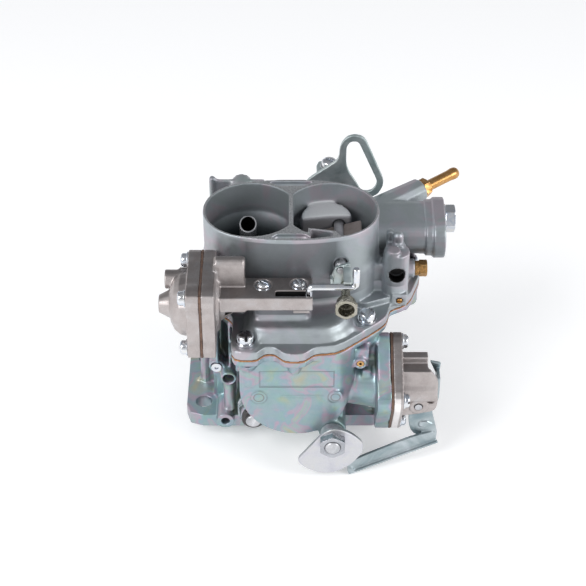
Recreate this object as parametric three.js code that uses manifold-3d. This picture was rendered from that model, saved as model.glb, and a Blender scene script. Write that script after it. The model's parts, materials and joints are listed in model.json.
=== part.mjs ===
// Twin-barrel downdraught carburettor, as an assembly of separate pieces.
// Millimetres, +Z up. The origin is at the centre of the mounting flange's bottom face, between the two bores.
// The bores stand side by side along X, the float bowl is at the front (-Y) and the fuel inlet at the back right.
import * as THREE from "three";
import { mergeVertices } from "three/addons/utils/BufferGeometryUtils.js";
import Module from "manifold-3d";

const wasm = await Module();
wasm.setup();

// ---------------------------------------------------------------- driving dimensions
const DEG = Math.PI / 180;
const GAP = 0.05; // between faces that rest on each other
const RUNNING = 0.3; // round a shaft, and between a piece and what it was cut by

const FLANGE = { x0: -58, x1: 54, y: 30, top: 8, corner: 9, studR: 4.5, studX: [-48.5, 44.5], studY: 18.5 };
const SECONDARY = { x: -20.5, r: 17.5, wall: 4.5 };
const PRIMARY = { x: 22, r: 13, wall: 5 };
const SHAFT = { z: 18, r: 4, rearY: 39.5 };
const BODY_TOP = 71;
const GASKET_TOP = BODY_TOP + 1;
const DECK = 77; // top of the cover's lip
const RIM = 125.5; // top of the air horn
const BOWL = { x: 3, z: 46, r: 30, front: -53.8, back: -20, wall: 3.5 };
const HORN = { lobeX: 20.8, lobeR: 25.3, boreR: 24, frontArcR: 113, halfDepth: 27.8, partition: 1.2 };
const CHOKE = { x: 25.5, z: 108.2, r: 3, throatR: 19.5, tilt: 15, clamp: [28, 99.1], leverY: -30 };
const PUMP = { x: 52.6, y: -35, z: 37.7, boltR: 23.4, firstBolt: 75.8, lugR: 5.6, pocketR: 14 };
const PIVOT = { x: 68, z: 30.2, r: 2 }; // the pump lever's pin, along Y
const VACUUM = { x: -45.6, y: -38, z: 92.8, bolt: 16, half: 21, flange: 6.6 };
const BEAM = { x1: 11, y0: -47, y1: -29, z0: 95, z1: 103, screws: [[-14.4, -35.5], [4, -34.5]] };
const ROD = { r: 1.8, y: -42.5, z: 99, legX: 9.2, topZ: 106.7, hookX: 33, hookZ: 118.6 };
const FLOAT_PIN = { y: -28.5, z: 65, r: 1.2 };
const IDLE = { y: 4, z: 84 };
const EAR = { x: -36.2, z: 7 }; // take-off on the flange's front edge
const STUB = { x: -33.9, z: 34.9 };
const PLUG = { x: -40.5, z: 38.5 };
const MAIN_JET = { x: 36.4, z: 58.2 };
const TOWER = { x: 55.2, y: -10.6, r: 7, top: 106.6 };
const TOWER_JET = [57.4, 79];
const SEAT = { x: 10, y: -42 };
const INLET = { upper: [30.5, 98], lower: [17.5, 95.5], r: 10.6, x1: 80 };
const PIPE = { x: 73, y: 56, z: 100, turn: 40, r: 2.8 };
const COVER_SCREWS = {
  front_left: [-23.5, -51], front_right: [39.8, -31.5], right: [65, 16.5], rear: [29.5, 34.5], rear_left: [-41, 30],
};
const seatHeight = (name) => (name === "front_left" ? DECK + 0.6 : DECK); // under a cover screw's head
const CAM_Y = -62; // front face of the pump cam
const REAR_LEVER_Y = 37.2; // front face of the throttle levers
const LEVER_ARM = 16; // from each throttle shaft to the link's pins

// ---------------------------------------------------------------- solids from three.js geometry
function solid(geometry) {
  const bare = geometry.index ? geometry.toNonIndexed() : geometry.clone();
  bare.deleteAttribute("normal");
  bare.deleteAttribute("uv");
  const merged = mergeVertices(bare, 1e-4);
  const index = merged.index.array;
  const kept = [];
  for (let i = 0; i < index.length; i += 3) {
    const [a, b, c] = [index[i], index[i + 1], index[i + 2]];
    if (a !== b && b !== c && a !== c) kept.push(a, b, c);
  }
  const vertProperties = new Float32Array(merged.attributes.position.array);
  return new wasm.Manifold(new wasm.Mesh({ numProp: 3, vertProperties, triVerts: new Uint32Array(kept) }));
}

function geometryOf(manifold) {
  const mesh = manifold.getMesh();
  const geometry = new THREE.BufferGeometry();
  geometry.setAttribute("position", new THREE.BufferAttribute(new Float32Array(mesh.vertProperties), 3));
  geometry.setIndex(new THREE.BufferAttribute(new Uint32Array(mesh.triVerts), 1));
  geometry.computeVertexNormals();
  return geometry;
}

const join = (...solids) => solids.reduce((all, next) => all.add(next));
const cut = (base, ...tools) => tools.reduce((left, tool) => left.subtract(tool), base);

function box(x0, x1, y0, y1, z0, z1) {
  const geometry = new THREE.BoxGeometry(x1 - x0, y1 - y0, z1 - z0);
  return solid(geometry.translate((x0 + x1) / 2, (y0 + y1) / 2, (z0 + z1) / 2));
}

// A cylinder, cone (rEnd) or prism (sides 6) between two points.
function rod(start, end, r, { rEnd = r, sides = 12, turn = 0 } = {}) {
  const from = new THREE.Vector3(...start);
  const along = new THREE.Vector3(...end).sub(from);
  const geometry = new THREE.CylinderGeometry(rEnd, r, along.length(), sides).rotateY(turn);
  geometry.translate(0, along.length() / 2, 0);
  geometry.applyQuaternion(new THREE.Quaternion().setFromUnitVectors(new THREE.Vector3(0, 1, 0), along.normalize()));
  return solid(geometry.translate(from.x, from.y, from.z));
}
const rodX = (x0, x1, y, z, r, options) => rod([x0, y, z], [x1, y, z], r, options);
const rodY = (y0, y1, x, z, r, options) => rod([x, y0, z], [x, y1, z], r, options);
const rodZ = (z0, z1, x, y, r, options) => rod([x, y, z0], [x, y, z1], r, options);

function extrude(shape, depth, curveSegments) {
  return new THREE.ExtrudeGeometry(shape, { depth, curveSegments, bevelEnabled: false });
}
const BASIS_X = new THREE.Matrix4().set(0, 0, 1, 0, 1, 0, 0, 0, 0, 1, 0, 0, 0, 0, 0, 1);
const BASIS_Y = new THREE.Matrix4().set(1, 0, 0, 0, 0, 0, -1, 0, 0, 1, 0, 0, 0, 0, 0, 1);
// A shape drawn in XY, YZ or XZ and given a thickness along the third axis.
const plateZ = (shape, z0, z1, segments = 2) => solid(extrude(shape, z1 - z0, segments).translate(0, 0, z0));
const plateX = (shape, x0, x1, segments = 2) =>
  solid(extrude(shape, x1 - x0, segments).applyMatrix4(BASIS_X).translate(x0, 0, 0));
const plateY = (shape, y0, y1, segments = 2) =>
  solid(extrude(shape, y1 - y0, segments).applyMatrix4(BASIS_Y).translate(0, y1, 0));

// A closed outline through corner points [x, y, radius], each corner rounded off.
function outline(points, radius = 0) {
  const shape = new THREE.Shape();
  points.forEach(([x, y, own], i) => {
    const corner = new THREE.Vector2(x, y);
    const before = new THREE.Vector2(...points.at(i - 1).slice(0, 2)).sub(corner);
    const after = new THREE.Vector2(...points[(i + 1) % points.length].slice(0, 2)).sub(corner);
    const reach = Math.min(own ?? radius, before.length() / 2.01, after.length() / 2.01);
    const start = before.setLength(reach).add(corner);
    const end = after.setLength(reach).add(corner);
    if (i === 0) shape.moveTo(start.x, start.y);
    else shape.lineTo(start.x, start.y);
    if (reach > 0) shape.quadraticCurveTo(x, y, end.x, end.y);
  });
  shape.closePath();
  return shape;
}

function lathe(profile, x, y, segments = 36) {
  const points = profile.map(([r, z]) => new THREE.Vector2(r, z));
  return solid(new THREE.LatheGeometry(points, segments).rotateX(Math.PI / 2).translate(x, y, 0));
}

// A helical spring along +Z from z0 to z1, then turned by the caller.
class Helix extends THREE.Curve {
  constructor(r, turns, length) {
    super();
    Object.assign(this, { r, turns, length });
  }
  getPoint(t, target = new THREE.Vector3()) {
    const angle = t * this.turns * 2 * Math.PI;
    return target.set(this.r * Math.cos(angle), this.r * Math.sin(angle), t * this.length);
  }
}
function spring(r, wire, turns, length) {
  const section = new THREE.Shape().absarc(0, 0, wire, 0, 2 * Math.PI);
  const path = new Helix(r, turns, length);
  return new THREE.ExtrudeGeometry(section, { steps: Math.round(turns * 8), curveSegments: 2, extrudePath: path });
}

// ---------------------------------------------------------------- shared outlines
function castingOutline() {
  return outline([
    [-31, -50, 4], [-30, -59, 7], [-17, -59, 6], [-14, -54, 3],
    [-8, -54, 4], [-4, -60, 4], [7.5, -60, 4], [11.5, -54, 4],
    [23.5, -53.6, 6], [36, -43, 5], [50.5, -29.5, 5], [52.3, -18, 3],
    [63, -12.5, 5], [70.5, 9.5, 6], [70.5, 22, 8], [56, 34, 8],
    [20, 42, 8], [-36, 42, 8], [-49, 36, 8], [-49, 8, 4],
    [-52, 2, 4], [-49, -6, 4], [-38, -20.5, 3], [-30.5, -28.5, 3],
  ]);
}

function bowlOutline(inset) {
  const r = BOWL.r - inset;
  const shape = new THREE.Shape();
  shape.absarc(BOWL.x, BOWL.z, r, Math.PI, 2 * Math.PI, false);
  shape.lineTo(BOWL.x + r, BODY_TOP + inset);
  shape.lineTo(BOWL.x - r, BODY_TOP + inset);
  shape.closePath();
  return shape;
}

// The horn's oval: an arc round each lobe and a flat arc along each side, all tangent.
function hornOutline(grow) {
  const lobe = HORN.lobeR + grow;
  const side = HORN.frontArcR + grow;
  const centreY = HORN.frontArcR - HORN.halfDepth;
  const meet = Math.atan2(centreY, HORN.lobeX);
  const shape = new THREE.Shape();
  shape.absarc(HORN.lobeX, 0, lobe, -meet, meet, false);
  shape.absarc(0, -centreY, side, meet, Math.PI - meet, false);
  shape.absarc(-HORN.lobeX, 0, lobe, Math.PI - meet, Math.PI + meet, false);
  shape.absarc(0, centreY, side, Math.PI + meet, 2 * Math.PI - meet, false);
  shape.closePath();
  return shape;
}

function pumpBolts() {
  return [0, 1, 2, 3].map((i) => {
    const angle = (PUMP.firstBolt + 90 * i) * DEG;
    return [PUMP.y + PUMP.boltR * Math.cos(angle), PUMP.z + PUMP.boltR * Math.sin(angle)];
  });
}
function pumpOutline() {
  const reach = PUMP.boltR + PUMP.lugR + 2;
  const corner = ([y, z]) => {
    const k = reach / PUMP.boltR;
    return [PUMP.y + (y - PUMP.y) * k, PUMP.z + (z - PUMP.z) * k, 8];
  };
  return outline(pumpBolts().map(corner));
}

function vacuumBolts() {
  const { y, z, bolt } = VACUUM;
  return [[y - bolt, z + bolt], [y + bolt, z + bolt], [y - bolt, z - bolt], [y + bolt, z - bolt]];
}
// A square with lugs at its corners and sides that pull in between them.
function vacuumOutline() {
  const { y, z, half } = VACUUM;
  const inner = half - 1.3;
  const lug = half - 9;
  return outline([
    [y - half, z - half, 5], [y - lug, z - half, 4], [y - lug + 3, z - inner, 2], [y + lug - 3, z - inner, 2],
    [y + lug, z - half, 4], [y + half, z - half, 5], [y + half, z - lug, 4], [y + inner, z - lug + 3, 2],
    [y + inner, z + lug - 3, 2], [y + half, z + lug, 4], [y + half, z + half, 5], [y + lug, z + half, 4],
    [y + lug - 3, z + inner, 2], [y - lug + 3, z + inner, 2], [y - lug, z + half, 4], [y - half, z + half, 5],
    [y - half, z + lug, 4], [y - inner, z + lug - 3, 2], [y - inner, z - lug + 3, 2], [y - half, z - lug, 4],
  ]);
}

// ---------------------------------------------------------------- castings
// The bowl in plan: its front right corner follows the cover's slanting edge.
function bowlPlan(inset) {
  const front = BOWL.front + inset;
  return outline([
    [-28 + inset, -10, 0.1], [-28 + inset, front, 0.1], [24 - inset / 3, front, 5],
    [34.5 - inset, -44.4 + inset / 3, 5], [34.5 - inset, -10, 0.1],
  ]);
}

function mainBody() {
  const barrels = join(
    rodZ(FLANGE.top - 1, BODY_TOP - 1, SECONDARY.x, 0, SECONDARY.r + SECONDARY.wall, { sides: 26 }),
    rodZ(FLANGE.top - 1, BODY_TOP - 1, PRIMARY.x, 0, PRIMARY.r + PRIMARY.wall, { sides: 24 }),
    box(SECONDARY.x, PRIMARY.x, -15, 15, FLANGE.top - 1, BODY_TOP - 1),
    box(-42, 40, 8, 24, 52, BODY_TOP - 1),
  );
  const flangeShape = outline([
    [FLANGE.x0, -FLANGE.y], [FLANGE.x1, -FLANGE.y], [FLANGE.x1, FLANGE.y], [FLANGE.x0, FLANGE.y],
  ], FLANGE.corner);
  const flange = join(
    plateZ(flangeShape, 0, FLANGE.top),
    rodY(-34, -14, EAR.x, EAR.z, 5), // vacuum take-off at the front edge
  );
  const topPlate = plateZ(castingOutline(), BODY_TOP - 3.4, BODY_TOP);
  const bowl = join(
    plateY(bowlOutline(0), BOWL.front, BOWL.back, 8).intersect(plateZ(bowlPlan(0), 0, BODY_TOP, 4)),
    rodZ(50, BODY_TOP - 1, -21.6, -50, 4.8), // under the front left screw
    rodZ(60, BODY_TOP - 5, -22.6, -50.8, 4, { rEnd: 7 }),
    rodZ(60, BODY_TOP - 1, 1.8, -53.6, 3, { rEnd: 5.6 }), // under the front lug
  );
  const shaftBosses = join(
    rodY(BOWL.front, -12, PRIMARY.x, SHAFT.z, 7.5),
    rodY(12, 33, PRIMARY.x, SHAFT.z, 7.5),
    rodY(-41, -12, SECONDARY.x, SHAFT.z, 7),
    rodY(12, 33, SECONDARY.x, SHAFT.z, 7.5),
    box(PRIMARY.x - 6, PRIMARY.x + 6, -48, -24, SHAFT.z, 30),
    box(SECONDARY.x - 5, SECONDARY.x + 5, -30, -20, SHAFT.z, 36),
  );
  const pumpSide = join(
    plateX(pumpOutline(), PUMP.x - 7.4, PUMP.x, 4),
    rodX(26, PUMP.x - 7, PUMP.y, PUMP.z, 11.5, { rEnd: 14.5, sides: 20 }),
    box(30, 46, -34, -8, 28, 62),
    box(37.3, 42.6, -44, -34, 36, 52), // rib beside the main jet
    rodZ(8, 40, 46, -22, 5),
  );
  const galleries = join(
    rodY(-46, -20, MAIN_JET.x, MAIN_JET.z, 3.6), // main jet carrier
    box(33, 41, -43, -20, 54, 66),
    rodZ(7, BODY_TOP - 1, -48, 0, 3), // left column
    box(-47, -38, -1.5, 3.5, 7, BODY_TOP - 1),
    rodY(-25, -4, PLUG.x, PLUG.z, 4.3), // plugged gallery
    box(-43, -36, -16, -4, 7, PLUG.z),
    rodY(-31, -10, STUB.x, STUB.z, 4.6), // vacuum stub
    rodZ(11, STUB.z, STUB.x, -27, 3),
    box(-37, -31, -26, -10, 9, STUB.z - 4),
    rodY(-36, -18, -30.5, 55.5, 2.6), // vent
    box(35.5, 44.5, 12, 25, FLANGE.top - 1, 16),
    rodY(14, 26, 40, 16, 5), // mixture screw boss
    rodZ(48, BODY_TOP - 1, 29.5, 34.5, 5.2),
    box(26.5, 32.5, 12, 34.5, 50, BODY_TOP - 1),
    rodZ(44, BODY_TOP - 1, -41, 30, 5.2),
    box(-41, -24, 14, 32, 46, BODY_TOP - 1),
    rodZ(52, BODY_TOP - 1, 65, 16.5, 5),
    box(36, 65, 13, 20, 54, BODY_TOP - 1),
    rodZ(64, BODY_TOP - 1, 39.8, -31.5, 6.2),
    rodZ(61, 64.01, 39.8, -31.5, 4, { rEnd: 6.2 }),
  );
  const ribs = join(
    ...[-33, -40].map((x) => box(x - 0.9, x + 0.9, -26, -12, 40, BODY_TOP - 1)),
    plateY(outline([[-54.5, 7], [-46, 7], [-46, 16]]), -1.4, 1),
    box(-30, -14, -31, -18, 40, 66),
  );
  const bores = join(
    rodZ(-1, BODY_TOP + 1, SECONDARY.x, 0, SECONDARY.r, { sides: 28 }),
    rodZ(-1, BODY_TOP + 1, PRIMARY.x, 0, PRIMARY.r, { sides: 26 }),
  );
  const studHoles = join(
    ...FLANGE.studX.flatMap((x) => [-1, 1].map((side) => rodZ(-1, FLANGE.top + 1, x, side * FLANGE.studY, FLANGE.studR))),
    rodY(-36, -22, EAR.x, EAR.z, 2.4, { sides: 10 }),
  );
  const counterbores = join(
    ...FLANGE.studX.flatMap((x) => [-1, 1].map((side) => rodZ(FLANGE.top, 24, x, side * FLANGE.studY, 8))),
  );
  const bowlInside = plateY(bowlOutline(BOWL.wall), BOWL.front, -25, 6).intersect(plateZ(bowlPlan(BOWL.wall), 0, 80, 4));
  const panels = join(
    box(-16.4, 22.4, BOWL.front - 1, BOWL.front + 0.7, 49.3, 60),
    box(-6, 17, BOWL.front - 1, BOWL.front + 0.4, 41.4, 43.8),
  );
  const shaftHoles = join(
    rodY(-60, 44, PRIMARY.x, SHAFT.z, SHAFT.r + RUNNING),
    rodY(-60, 44, SECONDARY.x, SHAFT.z, SHAFT.r + RUNNING),
  );
  const drillings = join(
    cut(rodY(-42, -30.2, SECONDARY.x, SHAFT.z, 9.8), rodY(-43, -30, SECONDARY.x, SHAFT.z, 7)), // round the spring
    rodX(PUMP.x - 4, PUMP.x + 1, PUMP.y, PUMP.z, PUMP.pocketR, { sides: 24 }),
    ...pumpBolts().map(([y, z]) => rodX(PUMP.x - 9, PUMP.x + 1, y, z, 2.3, { sides: 10 })),
    rodY(-60, -34, MAIN_JET.x, MAIN_JET.z, 2.1, { sides: 10 }),
    rodY(-33, -19, STUB.x, STUB.z, 3.1),
    rodY(-27, -20.9, PLUG.x, PLUG.z, 3),
    rodY(-38, -28, -30.5, 55.5, 1.5, { sides: 8 }),
    rodY(20, 40, 40, 16, 2.4, { sides: 10 }),
    ...Object.values(COVER_SCREWS).map(([x, y]) => rodZ(60, BODY_TOP + 1, x, y, 2.6, { sides: 10 })),
  );
  const marks = join(
    rodY(BOWL.front - 0.7, BOWL.front + 1, -17, 42.6, 4.4),
    rodY(BOWL.front - 0.6, -50, 23.4, 42.8, 4),
  );
  const shell = join(flange, cut(join(barrels, bowl, shaftBosses, galleries, ribs, topPlate, pumpSide), counterbores));
  return join(cut(shell, bores, studHoles, bowlInside, panels, shaftHoles, drillings), marks);
}

function coverGasket() {
  const sheet = plateZ(castingOutline(), BODY_TOP + GAP, GASKET_TOP - GAP);
  return cut(
    sheet,
    rodZ(BODY_TOP, GASKET_TOP, SECONDARY.x, 0, SECONDARY.r + 1, { sides: 36 }),
    rodZ(BODY_TOP, GASKET_TOP, PRIMARY.x, 0, PRIMARY.r + 1, { sides: 24 }),
    box(BOWL.x - 24, BOWL.x + 24, BOWL.front + 5, -25, BODY_TOP, GASKET_TOP),
    ...Object.values(COVER_SCREWS).map(([x, y]) => rodZ(BODY_TOP, GASKET_TOP, x, y, 2.9, { sides: 10 })),
  );
}

function topCover() {
  const horn = join(
    plateZ(hornOutline(0), 100, RIM, 12),
    plateZ(hornOutline(0.8), GASKET_TOP, 100.5, 12),
  );
  const deck = join(
    plateZ(castingOutline(), GASKET_TOP, DECK),
    plateZ(outline([[-24, -50.6, 5], [22, -50.6, 8], [34, -40.5, 8], [34, -24, 3], [-24, -24, 3]]), DECK - 1, 80),
    plateZ(outline([[-21, -48.2, 7], [20, -48.2, 9], [30.5, -39, 8], [30.5, -24, 2], [-21, -24, 2]]), DECK - 1, 84),
    plateZ(outline([[36, -24, 4], [56, -16, 4], [66, 8, 4], [66, 24, 4], [50, 34, 4], [20, 34, 4]]), DECK - 1, 81),
    rodZ(GASKET_TOP, seatHeight("front_left"), -23.5, -51.2, 7.4),
  );
  const beamPad = join(
    box(-19, 9, -41, -24, DECK, BEAM.z0 - GAP),
  );
  const towerFront = TOWER.y - TOWER.r;
  const tower = join(
    rodZ(DECK - 1, TOWER.top, TOWER.x, TOWER.y, TOWER.r, { sides: 20 }),
    rodZ(TOWER.top - 0.5, 109.2, 53.4, -13.4, 3.8),
    rodZ(98, 112.6, 56.2, -5, 2.9),
    rodZ(112.59, 114.2, 56.2, -5, 2.9, { rEnd: 1.4 }),
    rodZ(98, 113.6, 51.9, -2, 2.1),
    rodZ(98, 107, 51.8, -6, 2.4),
    plateY(outline([[54, 84, 0.3], [62, 84, 0.3], [62, 101, 1.5], [58.6, 108.4, 1.5], [54, 108.4, 0.3]]), -9, -1.5),
    box(44, 56, -12, -4, DECK - 1, 98), // web to the horn
    box(53.2, 61.4, towerFront - 0.8, TOWER.y, DECK - 1.6, 83), // boss of the plugged drilling
    box(50, 54, towerFront + 0.6, TOWER.y, DECK - 1, 78),
    rodX(56, 66.5, IDLE.y, IDLE.z, 5.2), // idle jet carrier
    box(56, 62.2, TOWER.y, 6, DECK - 1, 90),
  );
  const chamberShape = (grow) => {
    const shape = new THREE.Shape();
    const [y1, z1] = INLET.upper;
    const [y0, z0] = INLET.lower;
    const tilt = Math.atan2(z1 - z0, y1 - y0);
    const r = INLET.r + grow;
    shape.absarc(y1, z1, r, tilt - Math.PI / 2, tilt + Math.PI / 2, false);
    shape.absarc(y0, z0, r, tilt + Math.PI / 2, tilt + 1.5 * Math.PI, false);
    shape.closePath();
    return shape;
  };
  const heading = new THREE.Vector3(Math.cos(PIPE.turn * DEG), Math.sin(PIPE.turn * DEG), 0);
  const onPipe = (s) => [PIPE.x + heading.x * s, PIPE.y + heading.y * s, PIPE.z];
  const chamber = join(
    plateX(chamberShape(-1), 30, 73, 6),
    plateX(chamberShape(0), 72.5, INLET.x1, 6),
    plateX(chamberShape(1.2), INLET.x1 - 3.4, INLET.x1 + 3, 6),
    rod(onPipe(-40), onPipe(-2), 8.6, { rEnd: 7 }),
    box(38, 68, 12, 38, DECK - 1, 96),
  );
  const rear = join(
    box(-43, -14, 38, 40.6, DECK - 1, 117.8),
    rodZ(DECK - 1, 119.5, -43, 39.3, 2.1, { sides: 10 }),
    box(-14, 14, 24, 40, DECK - 1, 90),
    box(-26, -22, 26, 40, DECK - 1, 108),
    rodY(30, 43, -27, 113.6, 5.5),
    box(6, 22, 26, 46 - GAP, 94, 109),
    box(8, 20, 26, 40, DECK - 1, 100),
  );
  const marks = join(
    plateZ(outline([[29, -41.5, 0.4], [38.5, -40, 0.4], [40.5, -37.4, 0.4], [31, -38.6, 0.4]]), DECK - 1, DECK + 1.2),
  );
  const lobe = (side, floorR, floorX, footR, footX) => {
    const x = side * HORN.lobeX;
    const round = join(
      rodZ(107, RIM + 1, x, 0, HORN.boreR, { sides: 30 }),
      rodZ(98, 107.01, floorX, 0, floorR, { rEnd: HORN.boreR - 1, sides: 30 }),
      rodZ(86, 98.01, floorX, 0, floorR, { sides: 30 }),
      rodZ(GASKET_TOP - 1, 86.01, footX, 0, footR, { rEnd: floorR, sides: 30 }),
    );
    const beyond = side * HORN.partition;
    const half = side > 0 ? box(beyond, 60, -40, 40, 60, 140) : box(-60, beyond, -40, 40, 60, 140);
    return round.intersect(half);
  };
  const webPockets = join(
    plateZ(outline([[-7, -22], [7, -22], [11, -25.6], [-11, -25.6]], 0.6), RIM - 3, RIM + 1),
    plateZ(outline([[-7, 22], [7, 22], [12, 25.8], [-12, 25.8]], 0.6), RIM - 3, RIM + 1),
  );
  const throats = join(lobe(-1, 19, -21.8, 18, SECONDARY.x), lobe(1, CHOKE.throatR, 21.6, 13.6, PRIMARY.x));
  const shelfFront = outline([[0, 6.6, 0.1], [5.3, 7, 0.1], [19.5, 9.5, 0.1], [40, 9.8, 0.1], [40, 30, 0.1], [0, 30, 0.1]]);
  const shelf = rodZ(96, 114.2, 18.8, 10.2, 13.6, { sides: 28 }).intersect(plateZ(shelfFront, 90, 130));
  const ventWall = plateZ(outline([[8.8, -16.4, 0.1], [22.8, -19, 0.1], [26, -24, 0.1], [8.8, -24, 0.1]]), 100, RIM - 0.01);
  const ventSlot = plateZ(outline([[10, -17.7], [21.4, -20.1], [21.4, -23.6], [10, -25.7]], 0.4), RIM - 16, RIM + 1);
  const bridge = cut(
    join(box(-24, -21.2, -22, 22, 82, 88), rodZ(80, 90, -22.6, 0, 6.4)),
    rodZ(79, 92, -22.6, 0, 4.6, { sides: 18 }),
  );
  const shaftHole = rodY(-40, 27, CHOKE.x, CHOKE.z, CHOKE.r + RUNNING + 0.1);
  const floatPosts = join(box(-11.6, -7.8, -31.5, -25.5, 62, 74), box(13.8, 17.6, -31.5, -25.5, 62, 74));
  const lift = 1.9; // over the mouth's depth, so that it faces a little upwards
  const drillings = join(
    rod([TOWER.x + 0.4, towerFront - 2, 95.2 + lift / 5], [TOWER.x + 0.4, towerFront + 8, 95.2 - lift], 4.3, { sides: 20 }),
    rodY(-30, -12, TOWER_JET[0], TOWER_JET[1], 1.8, { sides: 10 }),
    rodX(60, 70, IDLE.y, IDLE.z, 2.6, { sides: 10 }),
    plateX(chamberShape(-4), 50, INLET.x1 - 1, 3),
    rodX(INLET.x1 - 2, INLET.x1 + 5, INLET.upper[0], INLET.upper[1], 4.6),
    rod(onPipe(-16), onPipe(0), 3.4, { sides: 10 }),
    rodZ(GASKET_TOP - 1, 80, 10, -42, 3.6, { sides: 10 }),
    ...Object.values(COVER_SCREWS).map(([x, y]) => rodZ(GASKET_TOP - 1, 90, x, y, 2.9, { sides: 10 })),
    ...BEAM.screws.map(([x, y]) => rodZ(85, 96, x, y, 1.9, { sides: 10 })),
    rodY(35, 47, 14, 103, 2.4, { sides: 10 }),
    rodX(-20, 30, FLOAT_PIN.y, FLOAT_PIN.z, FLOAT_PIN.r + 0.05, { sides: 10 }),
  );
  const underside = box(BOWL.x - 18, 19, -46, -27, GASKET_TOP - 1, 80);
  const seatBoss = cut(rodZ(GASKET_TOP, 82, 10, -42, 6), rodZ(GASKET_TOP - 1, 80, 10, -42, 3.6, { sides: 10 }));
  const seats = join(
    ...Object.entries(COVER_SCREWS).map(([name, [x, y]]) => {
      return rodZ(seatHeight(name), name === "rear" ? 86 : 100, x, y, 5.7);
    }),
  );
  const outer = cut(join(horn, deck, chamber, beamPad, tower, rear, marks), seats);
  const shell = join(cut(outer, throats, underside, webPockets), shelf, bridge, ventWall, seatBoss, floatPosts);
  return cut(shell, ventSlot, drillings, shaftHole);
}

// ---------------------------------------------------------------- fasteners
// A slotted cheese-head screw standing on z, with its shank below.
function slottedScrew(x, y, z, { headR = 4.3, head = 4.4, shankR = 2.4, shank = 14, washer = 1.2 } = {}) {
  const whole = join(
    rodZ(z - shank, z + 0.5, x, y, shankR, { sides: 10 }),
    rodZ(z, z + washer, x, y, headR + 0.8, { sides: 12 }),
    rodZ(z + washer - 0.01, z + washer + head - 1, x, y, headR, { sides: 12 }),
    rodZ(z + washer + head - 1.01, z + washer + head, x, y, headR, { rEnd: headR - 1, sides: 12 }),
  );
  const top = z + washer + head;
  return cut(whole, box(x - 0.8, x + 0.8, y - headR - 1, y + headR + 1, top - 2.2, top + 1));
}

// A pan-head screw along X. side is +1 when the head points to +X.
function sideScrew(xFace, y, z, side, { headR = 3.9, head = 3.6, shankR = 2, shank = 12 } = {}) {
  const tip = xFace - side * shank;
  const whole = join(
    rodX(tip, xFace + side * 0.2, y, z, shankR, { sides: 10 }),
    rodX(xFace, xFace + side * 0.9, y, z, headR + 0.5, { sides: 10 }),
    rodX(xFace + side * 0.89, xFace + side * head, y, z, headR, { rEnd: headR - 0.7, sides: 10 }),
  );
  const slotEnd = xFace + side * (head + 1);
  const slotStart = xFace + side * (head - 1.5);
  const [x0, x1] = side > 0 ? [slotStart, slotEnd] : [slotEnd, slotStart];
  return cut(whole, box(x0, x1, y - 5, y + 5, z - 0.6, z + 0.6));
}

function hexNutY(y0, y1, x, z, flats, hole) {
  const whole = rodY(y0, y1, x, z, flats / Math.sqrt(3), { sides: 6, turn: Math.PI / 6 });
  return cut(whole, rodY(y0 - 1, y1 + 1, x, z, hole));
}

// ---------------------------------------------------------------- throttles
function throttleShaft(bore, frontY) {
  const slotHalf = bore.r + 0.3;
  const whole = join(
    rodY(frontY, SHAFT.rearY, bore.x, SHAFT.z, SHAFT.r),
    rodY(Math.max(frontY + 2, CAM_Y + 2.45), bore === PRIMARY ? BOWL.front - RUNNING : -41.3, bore.x, SHAFT.z, 6.2),
    rodY(33.3, REAR_LEVER_Y - 0.3, bore.x, SHAFT.z, 6.2), // spacer behind the rear boss
  );
  return cut(whole, box(bore.x - 6, bore.x + 6, -slotHalf, slotHalf, SHAFT.z - 0.85, SHAFT.z + 0.85));
}

function throttlePlate(bore) {
  return rodZ(SHAFT.z - 0.7, SHAFT.z + 0.7, bore.x, 0, bore.r - 0.3, { sides: 26 });
}

// The eye-shaped cam that works the accelerator pump, on the front end of the primary shaft.
function pumpCam() {
  const shape = outline([
    [17.5, 24.6, 5], [23.5, 27.4, 7], [31.5, 24, 5], [38.6, 16.6, 3], [38.2, 10, 7],
    [32, 0.5, 9], [23.5, -5, 9], [14, -5, 9], [6.5, -0.6, 6], [3, 4, 2.5],
  ]);
  return cut(plateY(shape, CAM_Y, CAM_Y + 2.4, 4), rodY(CAM_Y - 1, CAM_Y + 4, PRIMARY.x, SHAFT.z, 4.1));
}

const LINK_Y = REAR_LEVER_Y + 2.5 + GAP;
// Throttle levers at the back. Both arms point the same way, so the link between them stays level.
function throttleLever(bore, withTail) {
  const { x } = bore;
  const pinZ = SHAFT.z + LEVER_ARM;
  const arm = outline([[x - 7, 11], [x + 7, 11], [x + 4.6, pinZ + 5], [x - 4.6, pinZ + 5]], 5);
  const tail = outline([[x - 6, 24, 3], [x + 8, 24, 3], [x + 22, 10, 4], [x + 22, 1, 4], [x + 14, 1, 4], [x - 2, 12, 3]]);
  const plate = plateY(arm, REAR_LEVER_Y, REAR_LEVER_Y + 2.5);
  const whole = withTail ? join(plate, plateY(tail, REAR_LEVER_Y, REAR_LEVER_Y + 2.5)) : plate;
  const pin = rodY(REAR_LEVER_Y + 1, REAR_LEVER_Y + 7.5, x, pinZ, 2.2, { sides: 10 });
  const tailHole = rodY(REAR_LEVER_Y - 1, REAR_LEVER_Y + 4, x + 17.5, 5.5, 2.2, { sides: 10 });
  return cut(join(whole, pin), rodY(30, 40, x, SHAFT.z, 4.1), tailHole);
}

function throttleLink() {
  const z = SHAFT.z + LEVER_ARM;
  const bar = outline([
    [SECONDARY.x - 4.5, z - 4.5], [PRIMARY.x + 4.5, z - 4.5], [PRIMARY.x + 4.5, z + 4.5], [SECONDARY.x - 4.5, z + 4.5],
  ], 4);
  return cut(
    plateY(bar, LINK_Y, LINK_Y + 2),
    rodY(LINK_Y - 1, LINK_Y + 3, PRIMARY.x, z, 2.5, { sides: 10 }),
    rodY(LINK_Y - 1, LINK_Y + 3, SECONDARY.x, z, 2.9, { sides: 10 }),
  );
}

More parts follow.
